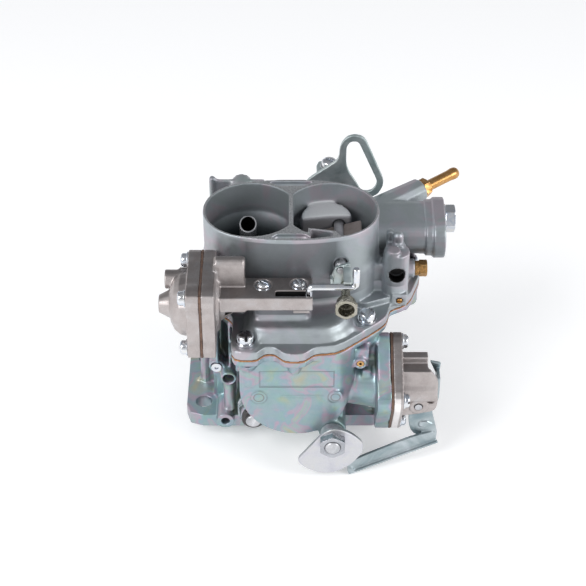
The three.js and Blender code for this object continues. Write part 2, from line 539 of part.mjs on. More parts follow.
function returnSpring() {
  return solid(spring(8.6, 0.7, 3.2, 8).rotateX(Math.PI / 2).translate(SECONDARY.x, -31.5, SHAFT.z));
}

// ---------------------------------------------------------------- accelerator pump
function pumpDiaphragm() {
  return cut(
    plateX(pumpOutline(), PUMP.x + GAP, PUMP.x + 1.2 - GAP, 4),
    rodX(PUMP.x - 1, PUMP.x + 3, PUMP.y, PUMP.z, 4.6, { sides: 10 }),
    ...pumpBolts().map(([y, z]) => rodX(PUMP.x - 1, PUMP.x + 3, y, z, 2.4, { sides: 10 })),
  );
}

const PUMP_FACE = PUMP.x + 1.2;
const PUMP_LID = PUMP_FACE + 5;
const PUMP_END = 74.4;
function pumpCover() {
  const { y, z } = PUMP;
  const lug = outline([[58, 22, 1], [66, 24, 5], [72.4, 25, 5], [72.4, 34.6, 5], [66, 37, 3], [58, 40, 1]]);
  const hood = outline([
    [58, 23, 1], [66, 24, 5], [71.8, 25.4, 2], [77.4, 26.6, 3.5], [78.2, 33, 1], [77.8, 47.6, 2], [73.4, 54.2, 1], [58, 54.2, 0.3],
  ]);
  const whole = join(
    plateX(pumpOutline(), PUMP_FACE, PUMP_LID, 4),
    rodX(PUMP_LID - 0.1, 68.5, y, z, 13.5, { rEnd: 12.9, sides: 18 }),
    rodX(68.45, PUMP_END, y, z, 12.9, { rEnd: 6.5, sides: 18 }),
    rodX(PUMP_LID - 0.1, 77, y, z, 14.2, { sides: 30 }).intersect(box(58, 78, -50, -44.4, 34.6, 53)),
    box(PUMP_LID - 0.1, 72.4, -40.2, -35.2, 46, 58.2),
    plateY(hood, -47.4, -44.4),
    box(PUMP_LID - 0.1, 72.4, -47.4, -38, 50.6, 54.2),
    rodY(-48.2, -44.4, PIVOT.x, PIVOT.z, 4.9),
    plateY(lug, -41, -37),
    box(PUMP_LID - 0.1, 62, -47, -37, 24, 40),
  );
  return cut(
    whole,
    rodX(PUMP_FACE - 1, PUMP_FACE + 12, y, z, 11.5),
    rodX(PUMP_FACE, PUMP_END + 5, y, z, 3),
    rodY(-60, -30, PIVOT.x, PIVOT.z, PIVOT.r + RUNNING, { sides: 10 }),
    ...pumpBolts().map(([by, bz]) => rodX(PUMP_FACE - 1, PUMP_LID + 1, by, bz, 2.4, { sides: 10 })),
    ...pumpBolts().map(([by, bz]) => rodX(PUMP_LID, PUMP_LID + 20, by, bz, 4.6)),
    box(61.6, 81, -44.2, -41, 14, 49.5), // room for the lever between the lugs
    box(72.8, 76.2, -49, -45.8, 32, 34.6),
  );
}

function pumpPlunger() {
  return join(
    rodX(PUMP.x - 1.5, PUMP.x + 5, PUMP.y, PUMP.z, 4.2, { sides: 10 }),
    rodX(PUMP.x + 4, 77.3, PUMP.y, PUMP.z, 2.6),
  );
}

// Sheet lever: a head that presses the plunger, a web past the pin, and a long foot that follows the cam.
const WEB_Y = -43.9; // front face of the web
function pumpLever() {
  const web = outline([
    [63.2, 25, 3], [63.6, 33, 3], [68, 35, 3], [74.6, 36, 2], [77, 46.5, 0.5], [79.2, 46.5, 0.5],
    [79.2, 31, 3], [75.4, 24.4, 4], [77.8, 15.6, 4], [80, 5.4, 3], [76, 2.6, 4], [66, 7, 3], [63.8, 13, 3],
  ]);
  const foot = outline([[0, 2.2, 2], [0, 9, 3], [-14.8, 8.2, 3], [-42, 1.6, 3], [-50, -1, 3], [-51, -6, 2], [-49, -7.6, 1]]);
  const lip = outline([[0.6, 1, 0.3], [-50.4, -8.8, 0.4], [-50.8, -7.6, 0.3], [0.4, 2.4, 0.3]]);
  const swing = Math.atan2(14.1, 47);
  const along = (shape, thick, forward) => {
    const geometry = extrude(shape, thick, 2).applyMatrix4(BASIS_Y).translate(0, thick - forward, 0);
    return solid(geometry.rotateZ(swing).translate(79.4, WEB_Y, 0));
  };
  const whole = join(
    plateY(web, WEB_Y, WEB_Y + 2.2),
    along(foot, 1.8, 0),
    along(lip, 3, 1.4),
    box(77.7, 79.2, WEB_Y, -31, 33, 46.5),
    plateY(outline([[74, 51, 0.6], [80, 49.7, 0.8], [79.2, 41, 0.3], [78.2, 41, 0.3]]), -34.8, -33.2),
    plateY(outline([[69.2, 16.4, 1.6], [73.6, 16.6, 1], [77, 14.4, 0.5], [73.6, 12.4, 1], [69.2, 12.6, 1.6]]), WEB_Y - 0.9, -42),
    rodY(-59.1, -55.4, 32.4, -6.4, 1.9, { sides: 10 }),
  );
  return cut(whole, rodY(-50, -40, PIVOT.x, PIVOT.z, PIVOT.r + RUNNING, { sides: 10 }));
}

function pumpLeverPin() {
  return rodY(-48.4, -37, PIVOT.x, PIVOT.z, PIVOT.r);
}

function pumpSpring() {
  const coil = spring(6.6, 0.7, 3.2, 7.6).rotateY(Math.PI / 2);
  return solid(coil.translate(PUMP_FACE + 1, PUMP.y, PUMP.z));
}

// ---------------------------------------------------------------- vacuum unit
const VACUUM_INNER = VACUUM.x + 0.6;
const VACUUM_OUTER = VACUUM.x - 0.6;
function vacuumHousing() {
  const { y, z } = VACUUM;
  const face = VACUUM_INNER + VACUUM.flange;
  const whole = join(
    plateX(vacuumOutline(), VACUUM_INNER, face),
    rodX(face - 0.1, face + 2, y, z, 15.5, { rEnd: 13, sides: 24 }),
    rodX(face + 1.9, -30, y, z, 9, { rEnd: 5, sides: 20 }),
    box(-38, -23, BEAM.y0, BEAM.y1, 94, BEAM.z1),
    box(-30, BEAM.x1, BEAM.y0, BEAM.y1, BEAM.z0, BEAM.z1),
    box(-36.6, -23.6, -37.4, -30, BEAM.z1 - 1, 115.4),
    rodX(-38.5, -24.6, -33.6, 115.4, 3.8, { sides: 16 }),
    rodX(-24.61, -23.4, -33.6, 115.4, 3.8, { rEnd: 2.8, sides: 16 }),
    box(-39.5, -36, -37.2, -30, BEAM.z1 - 1, 117),
    box(1, 9.5, BEAM.y0 + 1, -42, 92.6, BEAM.z0 + 1),
  );
  const channel = ROD.r + 0.45;
  const holes = join(
    rodX(VACUUM_INNER - 1, -40, y, z, 12.5, { sides: 18 }),
    box(-36, BEAM.x1 + 1, ROD.y - channel, ROD.y + channel, ROD.z - channel, ROD.z + channel),
    box(-41, -24, -44.6, -36, 90, ROD.z + channel),
    box(-8, BEAM.x1 + 1, ROD.y - channel, ROD.y + channel, ROD.z, BEAM.z1 + 1),
    ...BEAM.screws.map(([x, sy]) => rodZ(90, 110, x, sy, 2.2, { sides: 10 })),
    ...BEAM.screws.map(([x, sy]) => rodZ(BEAM.z1 - 1.2, 110, x, sy, 4.7)),
    ...vacuumBolts().map(([by, bz]) => rodX(VACUUM_INNER - 1, VACUUM_INNER + 8, by, bz, 2.3, { sides: 10 })),
  );
  const lipRoom = box(-40, -37, -20.6, -16, GASKET_TOP - 1, DECK + RUNNING);
  return cut(whole, holes, lipRoom, plateZ(hornOutline(0.8 + RUNNING), 70, RIM, 12));
}

function vacuumDiaphragm() {
  return cut(
    plateX(vacuumOutline(), VACUUM_OUTER + GAP, VACUUM_INNER - GAP),
    rodX(-50, -40, VACUUM.y, VACUUM.z, 2.3, { sides: 10 }),
    ...vacuumBolts().map(([y, z]) => rodX(-50, -40, y, z, 2.3, { sides: 10 })),
  );
}

function vacuumCover() {
  const { y, z, flange } = VACUUM;
  const face = VACUUM_OUTER - flange;
  const whole = join(
    plateX(vacuumOutline(), face, VACUUM_OUTER),
    rodX(face - 4, face + 0.1, y, z, 16, { rEnd: 17, sides: 24 }),
    rodX(face - 7, face - 3.99, y, z, 13.4, { rEnd: 16, sides: 24 }),
    rodX(face - 9, face - 6.99, y, z, 9.4, { rEnd: 13.4, sides: 24 }),
    rodX(-68, face - 8.8, y, z, 4.6, { rEnd: 7.8, sides: 18 }),
    rodX(-65, -56, y + 9, z + 9, 5, { sides: 20 }),
    box(face - 5, face + 1, y - 2, y + 16, z - 2, z + 14),
  );
  return cut(
    whole,
    rodX(face - 3, VACUUM_OUTER + 1, y, z, 12.5, { sides: 16 }),
    rodX(face - 6, face - 2, y, z, 6),
    rodX(-67, -60, y + 9, z + 9, 2.4, { sides: 10 }),
    rodX(face - 9, face - 5, y, z, 2.6, { sides: 10 }),
    ...vacuumBolts().map(([by, bz]) => rodX(face - 2, VACUUM_OUTER + 1, by, bz, 2.3, { sides: 10 })),
    ...vacuumBolts().map(([by, bz]) => rodX(face - 12, face, by, bz, 4.5)),
  );
}

function vacuumSpring() {
  const coil = spring(8.5, 0.8, 3.2, 6.4).rotateY(-Math.PI / 2);
  return solid(coil.translate(VACUUM_OUTER - 0.9, VACUUM.y, VACUUM.z));
}

// The wire the diaphragm pulls: out of the beam's slot, along the cover, and up in front of the choke lever.
function pulldownRod() {
  const { y, z, legX, topZ, hookX, hookZ } = ROD;
  const bend = 2.4;
  const corner = (a, b, c) => new THREE.QuadraticBezierCurve3(
    new THREE.Vector3(...a), new THREE.Vector3(...b), new THREE.Vector3(...c));
  const line = (a, b) => new THREE.LineCurve3(new THREE.Vector3(...a), new THREE.Vector3(...b));
  const path = [
    line([-49, -38, 92.8], [-40.8, -38, 92.8]),
    line([-40.8, -38, 92.8], [-34, y, z]),
    line([-34, y, z], [legX - bend, y, z]),
    corner([legX - bend, y, z], [legX, y, z], [legX, y, z + bend]),
    line([legX, y, z + bend], [legX, y, topZ - bend]),
    corner([legX, y, topZ - bend], [legX, y, topZ], [legX + bend, y, topZ]),
    line([legX + bend, y, topZ], [hookX - bend, y, topZ]),
    corner([hookX - bend, y, topZ], [hookX, y, topZ], [hookX, y, topZ + bend]),
    line([hookX, y, topZ + bend], [hookX, y, hookZ]),
  ];
  const way = new THREE.CurvePath();
  path.forEach((piece) => way.add(piece));
  const section = new THREE.Shape().absarc(0, 0, ROD.r, 0, 2 * Math.PI);
  return solid(new THREE.ExtrudeGeometry(section, { steps: 34, curveSegments: 3, extrudePath: way }));
}

// ---------------------------------------------------------------- choke
const CHOKE_PLATE = { left: -20.4, right: 12.2, front: -13, rearLeft: 6.3, rearRight: 9.2, thick: 1.4 };
const leaning = (geometry) =>
  solid(geometry.translate(-CHOKE.x, 0, -CHOKE.z).rotateY(-CHOKE.tilt * DEG).translate(CHOKE.x, 0, CHOKE.z));

function chokeShaft() {
  const { front, rearRight, thick } = CHOKE_PLATE;
  const whole = join(
    rodY(-27.6, 26, CHOKE.x, CHOKE.z, CHOKE.r),
    rodY(CHOKE.leverY - 1, -27.5, CHOKE.x, CHOKE.z, 2),
  );
  const length = rearRight - front + 2 * RUNNING;
  const slot = new THREE.BoxGeometry(10, length, thick + 0.5).translate(CHOKE.x, (front + rearRight) / 2, CHOKE.z);
  return cut(whole, leaning(slot));
}

// Closed, the plate leans with its short side up.
function chokePlate() {
  const { left, right, front, rearLeft, rearRight, thick } = CHOKE_PLATE;
  const { x, z } = CHOKE;
  const shape = outline([
    [x + left, front, 8], [x + right, front, 6], [x + right, rearRight, 0.8], [x - 5, rearRight - 0.6, 0.5], [x + left, rearLeft, 0.8],
  ]);
  return leaning(extrude(shape, thick, 3).translate(0, 0, z - thick / 2));
}

function chokeLever() {
  const [cx, cz] = CHOKE.clamp;
  const y = CHOKE.leverY;
  const shape = outline([
    [20.6, 104, 1.5], [22.5, 109.7, 1], [30.3, 112.6, 1.2], [31.2, 106, 2], [cx + 4.8, cz - 4, 4], [cx - 4.8, cz - 4, 4],
    [20.2, 100.4, 1],
  ]);
  const whole = join(
    plateY(shape, y, y + 1.8),
    box(26.6, 30.6, -43.4, y + 0.5, 109, 110.6), // finger the wire pulls on
    box(20.1, 21.8, y - 3.4, y + 0.5, 101, 105),
  );
  const holes = [rodY(y - 3, y + 4, CHOKE.x, CHOKE.z, 2.1, { sides: 10 }), rodY(y - 3, y + 4, cx, cz, 2.2, { sides: 10 })];
  return cut(whole, ...holes);
}

// Hollow hexagon that grips the choke cable, turning on the lever by its stem.
function cableClamp() {
  const [x, z] = CHOKE.clamp;
  const y = CHOKE.leverY;
  const whole = join(
    rodY(-51.5, -49.2, x, z, 6.4, { sides: 6, turn: Math.PI / 6 }),
    rodY(-49.3, -44.8, x, z, 5, { sides: 16 }),
    rodY(-44.9, y - 0.1, x, z, 2.4),
    rodY(y - 0.2, y + 2.6, x, z, 2.05, { sides: 10 }),
  );
  return cut(whole, rodY(-53, -46, x, z, 4, { sides: 16 }));
}

// ---------------------------------------------------------------- fuel system
function floatBody() {
  const buoy = plateZ(outline([[-13, -49.5], [19, -49.5], [19, -33], [-13, -33]], 5), 38, 59);
  const hinge = join(
    rodX(-7.2, 13.2, FLOAT_PIN.y, FLOAT_PIN.z, 2.5, { sides: 10 }),
    box(-6, 12, FLOAT_PIN.y - 2, FLOAT_PIN.y + 0.6, 60, FLOAT_PIN.z - 1),
    box(-6, 12, -45.5, FLOAT_PIN.y + 0.6, 60, 61.6),
    box(-4, 10, -43, -35, 58, 60.5),
  );
  return cut(join(buoy, hinge), rodX(-10, 16, FLOAT_PIN.y, FLOAT_PIN.z, FLOAT_PIN.r + RUNNING, { sides: 10 }));
}

function floatPin() {
  return rodX(-12.5, 18.5, FLOAT_PIN.y, FLOAT_PIN.z, FLOAT_PIN.r, { sides: 10 });
}

function needleSeat() {
  const { x, y } = SEAT;
  return cut(
    join(
      rodZ(68, GASKET_TOP - GAP, x, y, 5.2, { sides: 6 }),
      rodZ(GASKET_TOP - GAP - 0.1, 79, x, y, 3.3, { sides: 10 }),
    ),
    rodZ(67, 75, x, y, 2.2, { sides: 10 }),
    rodZ(74, 80, x, y, 1.1, { sides: 10 }),
  );
}

function inletNeedle() {
  const { x, y } = SEAT;
  return join(rodZ(62, 71.5, x, y, 1.8, { sides: 12 }), rodZ(71.4, 74, x, y, 1.8, { rEnd: 0.5, sides: 12 }));
}

function inletPipe() {
  const heading = new THREE.Vector3(Math.cos(PIPE.turn * DEG), Math.sin(PIPE.turn * DEG), 0);
  const at = (s) => [PIPE.x + heading.x * s, PIPE.y + heading.y * s, PIPE.z];
  const whole = join(
    rod(at(-12), at(-1.8), 3.3, { sides: 10 }),
    rod(at(-1.9), at(2.6), 5.2, { sides: 6 }),
    rod(at(2.5), at(26), PIPE.r),
    rod(at(21), at(24.4), PIPE.r, { rEnd: 3.3 }),
    rod(at(24.3), at(27), 3.3, { rEnd: 2.6 }),
  );
  return cut(whole, rod(at(-13), at(28), 1.8, { sides: 10 }));
}

function inletPlugBolt() {
  const [y, z] = INLET.upper;
  const x = INLET.x1 + 3;
  const whole = join(
    rodX(x - 4.6, x + 0.5, y, z, 4.5),
    rodX(x + GAP, x + 1.2, y, z, 8),
    rodX(x + 1.1, x + 6.4, y, z, 7.6, { sides: 6, turn: Math.PI / 6 }),
  );
  return cut(whole, rodX(x + 5, x + 7, y, z, 3.4));
}

function mainJet() {
  const { x, z } = MAIN_JET;
  return cut(
    rodY(-45.4, -38, x, z, 2, { sides: 10 }),
    rodY(-50, -37, x, z, 0.8, { sides: 10 }),
  );
}

function idleJet() {
  return join(
    rodX(66.55, 68.9, IDLE.y, IDLE.z, 4),
    rodX(68.8, 73.2, IDLE.y, IDLE.z, 4.6, { sides: 6 }),
    rodX(61, 66.6, IDLE.y, IDLE.z, 2.5, { sides: 10 }),
  );
}

function towerJet() {
  const front = TOWER.y - TOWER.r - 1.2;
  const [x, z] = TOWER_JET;
  return cut(rodY(front, front + 4.5, x, z, 1.5, { sides: 10 }), box(x - 3, x + 3, front - 1, front + 0.6, z - 0.3, z + 0.3));
}

// Air tube standing in the secondary's inlet, its mouth cut at a slant.
function ventTube() {
  const tube = cut(rodZ(82, 118, -22.6, 0, 4.5, { sides: 18 }), rodZ(81, 120, -22.6, 0, 3.8, { sides: 18 }));
  const wedge = new THREE.BoxGeometry(14, 14, 6).translate(0, 0, 3).rotateX(27 * DEG).translate(-22.6, 0, 116);
  return cut(tube, solid(wedge));
}

function booster(bore, r, z0, z1) {
  const ring = lathe([[r - 2, z0], [r, z0], [r, z1], [r - 1.4, z1], [r - 2.6, (z0 + z1) / 2], [r - 2, z0]], bore.x, 0, 18);
  const arm = cut(
    box(bore.x - 1.3, bore.x + 1.3, -bore.r + 0.3, -r + 1, z0 + 5, z0 + 9),
    rodZ(z0 - 1, z1 + 1, bore.x, 0, r - 1.2, { sides: 18 }),
  );
  return join(ring, arm);
}

function galleryPlug() {
  return cut(rodY(-25.6, -21, PLUG.x, PLUG.z, 2.9), rodY(-27, -24.9, PLUG.x, PLUG.z, 1.2, { sides: 8 }));
}

function mixtureScrew() {
  return cut(
    join(rodY(19, 27, 40, 16, 2.2, { sides: 10 }), rodY(26.3, 31, 40, 16, 3.6)),
    box(35, 45, 30, 32, 15.5, 16.5),
  );
}

// ---------------------------------------------------------------- rear bracket
const BRACKET = { y0: 46, y1: 48.3, screw: [14, 103], clampScrew: [21, 57] };
function rearBracket() {
  const shape = outline([
    [8, 97, 3], [34, 97, 4], [38, 101, 4], [47, 101.5, 4], [51.8, 110.5, 5], [39.4, 141, 5.5],
    [31, 141.6, 5], [26.4, 135.6, 7], [25.8, 125.8, 3], [10.3, 114, 3], [8, 111, 3],
  ]);
  shape.holes.push(outline([
    [30, 124.6, 2], [30, 134.4, 5], [32.6, 137.8, 3], [36.4, 137.4, 4], [47.6, 111, 3], [44.8, 105, 3],
    [38.6, 105, 2], [36.4, 110, 2], [31, 119, 3],
  ]));
  const [cx, cy] = BRACKET.clampScrew;
  const tab = plateZ(outline([[cx - 7, 47, 0.2], [cx + 6, 47, 0.2], [cx + 6, 64, 5], [cx - 7, 64, 5]]), 112, 114.3);
  const whole = join(plateY(shape, BRACKET.y0, BRACKET.y1, 3), tab);
  const [sx, sz] = BRACKET.screw;
  return cut(whole, rodY(45, 50, sx, sz, 2.6, { sides: 10 }), rodZ(110, 116, cx, cy, 2.3, { sides: 10 }));
}

function bracketScrew() {
  const [x, z] = BRACKET.screw;
  return cut(
    join(
      rodY(36, BRACKET.y1 + 0.3, x, z, 2.2, { sides: 10 }),
      rodY(BRACKET.y1 + GAP, BRACKET.y1 + 4, x, z, 5, { rEnd: 4.4, sides: 6 }),
    ),
    rodY(BRACKET.y1 + 3, BRACKET.y1 + 5, x, z, 1.8, { sides: 10 }),
  );
}

function clampScrew() {
  const [x, y] = BRACKET.clampScrew;
  return slottedScrew(x, y, 114.3 + GAP, { headR: 4.2, head: 3.4, shankR: 2, shank: 8 });
}

// ---------------------------------------------------------------- finishes and assembly
const FINISH = {
  body: [0xa9b3b0, 0.42, 0.75],
  cover: [0x9da3a4, 0.45, 0.75],
  cast: [0xb5a9a5, 0.5, 0.7],
  zinc: [0xc9d2d8, 0.25, 0.95],
  lever: [0x6f7c80, 0.35, 0.85],
  brass: [0xc79a3b, 0.3, 0.9],
  nickel: [0xb9b49f, 0.3, 0.9],
  steel: [0x8b8f92, 0.3, 0.95],
  gasket: [0x9a5a34, 0.85, 0],
  rubber: [0x3a2b24, 0.8, 0],
  float: [0x2b2b2c, 0.6, 0],
};

const assembly = new THREE.Group();
assembly.name = "carburetor";
function piece(name, finish, shape) {
  const [color, roughness, metalness] = FINISH[finish];
  const mesh = new THREE.Mesh(geometryOf(shape), new THREE.MeshStandardMaterial({ color, roughness, metalness }));
  mesh.name = name;
  assembly.add(mesh);
}

piece("main_body", "body", mainBody());
piece("cover_gasket", "gasket", coverGasket());
piece("top_cover", "cover", topCover());
for (const [place, [x, y]] of Object.entries(COVER_SCREWS)) {
  piece(`cover_screw_${place}`, "zinc", slottedScrew(x, y, seatHeight(place) + GAP));
}

piece("inlet_pipe", "brass", inletPipe());
piece("inlet_plug_bolt", "zinc", inletPlugBolt());
piece("needle_seat", "brass", needleSeat());
piece("inlet_needle", "steel", inletNeedle());
piece("float_pin", "steel", floatPin());
piece("float", "float", floatBody());
piece("main_jet", "brass", mainJet());
piece("idle_jet", "brass", idleJet());
piece("tower_jet", "brass", towerJet());
piece("vent_tube", "steel", ventTube());
piece("booster_primary", "cover", booster(PRIMARY, 7, 50, 64));
piece("booster_secondary", "cover", booster(SECONDARY, 8.5, 50, 64));
piece("gallery_plug", "zinc", galleryPlug());
piece("mixture_screw", "zinc", mixtureScrew());

piece("primary_shaft", "steel", throttleShaft(PRIMARY, -67.6));
piece("primary_plate", "brass", throttlePlate(PRIMARY));
piece("pump_cam", "zinc", pumpCam());
piece("cam_nut", "zinc", hexNutY(CAM_Y - 5, CAM_Y - GAP, PRIMARY.x, SHAFT.z, 13, 4.05));
piece("primary_lever", "zinc", throttleLever(PRIMARY, true));
piece("secondary_shaft", "steel", throttleShaft(SECONDARY, -46.5));
piece("secondary_plate", "brass", throttlePlate(SECONDARY));
piece("secondary_lever", "zinc", throttleLever(SECONDARY, false));
piece("throttle_link", "zinc", throttleLink());
piece("return_spring", "steel", returnSpring());

piece("pump_diaphragm", "rubber", pumpDiaphragm());
piece("pump_cover", "cast", pumpCover());
pumpBolts().forEach(([y, z], i) => piece(`pump_screw_${i + 1}`, "zinc", sideScrew(PUMP_LID + GAP, y, z, 1)));
piece("pump_lever", "lever", pumpLever());
piece("pump_lever_pin", "steel", pumpLeverPin());
piece("pump_plunger", "steel", pumpPlunger());
piece("pump_spring", "steel", pumpSpring());

piece("vacuum_housing", "cast", vacuumHousing());
piece("vacuum_diaphragm", "rubber", vacuumDiaphragm());
piece("vacuum_cover", "cast", vacuumCover());
vacuumBolts().forEach(([y, z], i) => {
  piece(`vacuum_screw_${i + 1}`, "zinc", sideScrew(VACUUM_OUTER - VACUUM.flange - GAP, y, z, -1, { head: 4.2, shank: 14 }));
});
piece("vacuum_spring", "steel", vacuumSpring());
BEAM.screws.forEach(([x, y], i) => {
  const seat = { headR: 3.4, head: 2.6, shankR: 1.7, shank: 13, washer: 0.2 };
  piece(`beam_screw_${i + 1}`, "zinc", slottedScrew(x, y, BEAM.z1 - 1.2 + GAP, seat));
});
piece("pulldown_rod", "zinc", pulldownRod());

piece("choke_shaft", "steel", chokeShaft());
piece("choke_plate", "nickel", chokePlate());
piece("choke_lever", "lever", chokeLever());
piece("cable_clamp", "nickel", cableClamp());

piece("rear_bracket", "lever", rearBracket());
piece("bracket_screw", "zinc", bracketScrew());
piece("clamp_screw", "zinc", clampScrew());

export default assembly;
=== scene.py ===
import json
import math

import bmesh
import bpy
from mathutils import Matrix, Vector

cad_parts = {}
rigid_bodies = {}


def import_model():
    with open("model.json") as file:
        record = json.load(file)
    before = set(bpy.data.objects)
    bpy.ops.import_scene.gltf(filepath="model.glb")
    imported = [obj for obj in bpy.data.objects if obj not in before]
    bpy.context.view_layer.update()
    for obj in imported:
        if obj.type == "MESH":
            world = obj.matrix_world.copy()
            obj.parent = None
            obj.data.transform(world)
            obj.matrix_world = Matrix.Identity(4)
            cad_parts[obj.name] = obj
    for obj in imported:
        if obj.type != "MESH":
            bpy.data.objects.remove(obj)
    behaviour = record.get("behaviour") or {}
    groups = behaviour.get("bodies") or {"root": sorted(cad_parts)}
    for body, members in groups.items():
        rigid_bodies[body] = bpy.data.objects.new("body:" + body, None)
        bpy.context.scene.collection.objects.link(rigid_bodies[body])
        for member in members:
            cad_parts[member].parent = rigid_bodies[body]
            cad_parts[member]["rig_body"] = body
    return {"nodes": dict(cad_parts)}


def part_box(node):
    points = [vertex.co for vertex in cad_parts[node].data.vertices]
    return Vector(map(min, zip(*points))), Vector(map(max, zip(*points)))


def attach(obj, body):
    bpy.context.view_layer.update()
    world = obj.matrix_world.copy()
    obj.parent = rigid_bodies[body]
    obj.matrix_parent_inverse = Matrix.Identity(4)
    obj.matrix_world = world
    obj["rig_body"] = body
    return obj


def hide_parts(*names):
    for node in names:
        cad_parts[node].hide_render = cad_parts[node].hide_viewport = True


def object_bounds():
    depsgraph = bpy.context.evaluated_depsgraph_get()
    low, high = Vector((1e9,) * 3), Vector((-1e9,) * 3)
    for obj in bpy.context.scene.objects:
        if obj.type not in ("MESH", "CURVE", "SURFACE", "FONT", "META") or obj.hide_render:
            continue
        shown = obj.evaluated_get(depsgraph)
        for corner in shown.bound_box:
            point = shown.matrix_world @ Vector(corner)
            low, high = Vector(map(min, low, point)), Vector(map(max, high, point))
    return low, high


MM = 0.001
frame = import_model()
cad_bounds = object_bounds()

AXIS = {"x": Vector((1, 0, 0)), "y": Vector((0, 1, 0)), "z": Vector((0, 0, 1))}
UP, FORWARD = (0, 0, 1), (0, -1, 0)


def cad_box(node):
    """Lowest and highest corner of a CAD node, in millimetres."""
    low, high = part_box(node)
    return low / MM, high / MM


def middle(node):
    low, high = cad_box(node)
    return (low + high) / 2


# ---------------------------------------------------------------- node helpers
def put(tree, kind, settings=None, **inputs):
    """Adds a node. Inputs go by name, or i0, i1 ... by number; a socket is linked, anything else is set."""
    node = tree.nodes.new(kind)
    for key, value in (settings or {}).items():
        setattr(node, key, value)
    for key, value in inputs.items():
        by_number = key[0] == "i" and key[1:].isdigit()
        socket = node.inputs[int(key[1:]) if by_number else key.replace("_", " ")]
        if isinstance(value, bpy.types.NodeSocket):
            tree.links.new(value, socket)
        else:
            socket.default_value = value
    return node


def maths(tree, operation, a, b=0.0, clamp=False):
    return put(tree, "ShaderNodeMath", {"operation": operation, "use_clamp": clamp}, i0=a, i1=b).outputs[0]


def noise(tree, coords, scale, detail=3.0, rough=0.55, distort=0.0):
    shape = {"Scale": scale, "Detail": detail, "Roughness": rough, "Distortion": distort}
    return put(tree, "ShaderNodeTexNoise", Vector=coords, **shape).outputs["Fac"]


def ramp(tree, factor, stops):
    node = put(tree, "ShaderNodeValToRGB", Fac=factor)
    elements = node.color_ramp.elements
    while len(elements) < len(stops):
        elements.new(0.5)
    for element, (place, colour) in zip(elements, stops):
        element.position = place
        element.color = (*colour, 1)
    return node.outputs["Color"]


def mix(tree, factor, a, b, blend="MIX"):
    node = put(tree, "ShaderNodeMix", {"data_type": "RGBA", "blend_type": blend})
    for socket, value in ((node.inputs["Factor"], factor), (node.inputs[6], a), (node.inputs[7], b)):
        if isinstance(value, bpy.types.NodeSocket):
            tree.links.new(value, socket)
        elif socket.name == "Factor":
            socket.default_value = value
        else:
            socket.default_value = (*value, 1)
    return node.outputs[2]


def spread(tree, value, from_low, from_high, low, high):
    node = put(tree, "ShaderNodeMapRange", {"clamp": True}, Value=value)
    for key, number in (("From Min", from_low), ("From Max", from_high), ("To Min", low), ("To Max", high)):
        node.inputs[key].default_value = number
    return node.outputs["Result"]


def position(tree):
    """Object coordinates in millimetres: the whole vector, then x, y and z."""
    coords = put(tree, "ShaderNodeTexCoord").outputs["Object"]
    scaled = put(tree, "ShaderNodeVectorMath", {"operation": "SCALE"}, Vector=coords, Scale=1 / MM).outputs[0]
    parts = put(tree, "ShaderNodeSeparateXYZ", Vector=scaled)
    return scaled, parts.outputs[0], parts.outputs[1], parts.outputs[2]


def facing(tree, axis, low=0.5, high=0.9):
    """1 where the surface faces along axis."""
    normal = put(tree, "ShaderNodeNewGeometry").outputs["Normal"]
    dot = put(tree, "ShaderNodeVectorMath", {"operation": "DOT_PRODUCT"}, i0=normal, i1=tuple(axis))
    return spread(tree, dot.outputs["Value"], low, high, 0, 1)


def within(tree, value, low, high, soft=0.4):
    rise = spread(tree, value, low - soft, low, 0, 1)
    fall = spread(tree, value, high, high + soft, 1, 0)
    return maths(tree, "MULTIPLY", rise, fall)


def both(tree, *factors):
    total = factors[0]
    for factor in factors[1:]:
        total = maths(tree, "MULTIPLY", total, factor)
    return total


def in_box(tree, axes, low, high, soft):
    """1 inside the box from low to high, fading over soft outside it along each axis."""
    return both(tree, *[within(tree, *limits) for limits in zip(axes, low, high, soft)])


def distance(tree, a, b, centre):
    """How far (a, b) is from centre, both in millimetres."""
    off_a = maths(tree, "SUBTRACT", a, centre[0])
    off_b = maths(tree, "SUBTRACT", b, centre[1])
    return maths(tree, "SQRT", maths(tree, "ADD", both(tree, off_a, off_a), both(tree, off_b, off_b)))


def material(name, stops, patch, metallic, rough, grain, bump, speckle, paint=None, detail=4.0, top=0.7):
    """A metal or sheet whose colour drifts in patches, with fine grain, speckle and uneven gloss.

    patch and grain are noise scales per millimetre, and top scales the colour of what faces up: below 1 it is
    painted shade, above 1 painted light.
    """
    made = bpy.data.materials.new(name)
    made.use_nodes = True
    tree = made.node_tree
    shader = tree.nodes["Principled BSDF"]
    coords, x, y, z = position(tree)
    drift = noise(tree, coords, patch, detail, 0.6, 0.8)
    colour = ramp(tree, drift, stops)
    dots = noise(tree, coords, grain, 2, 0.6)
    # Painted light and shade: the colour of faces that point up is scaled by top.
    above = spread(tree, facing(tree, UP, 0.6, 0.95), 0, 1, 1, top)
    shade = both(tree, spread(tree, dots, 0.3, 0.7, 1 - speckle, 1 + speckle), above)
    gloss = spread(tree, noise(tree, coords, patch * 5, 3), 0.35, 0.65, *rough)
    if paint:
        colour, gloss = paint(tree, colour, gloss, coords, x, y, z)
    grey = put(tree, "ShaderNodeCombineColor", Red=shade, Green=shade, Blue=shade).outputs[0]
    tree.links.new(mix(tree, 1.0, colour, grey, "MULTIPLY"), shader.inputs["Base Color"])
    tree.links.new(gloss, shader.inputs["Roughness"])
    shader.inputs["Metallic"].default_value = metallic
    lift = put(tree, "ShaderNodeBump", Height=dots, Strength=bump, Distance=0.05 * MM)
    tree.links.new(lift.outputs["Normal"], shader.inputs["Normal"])
    return made


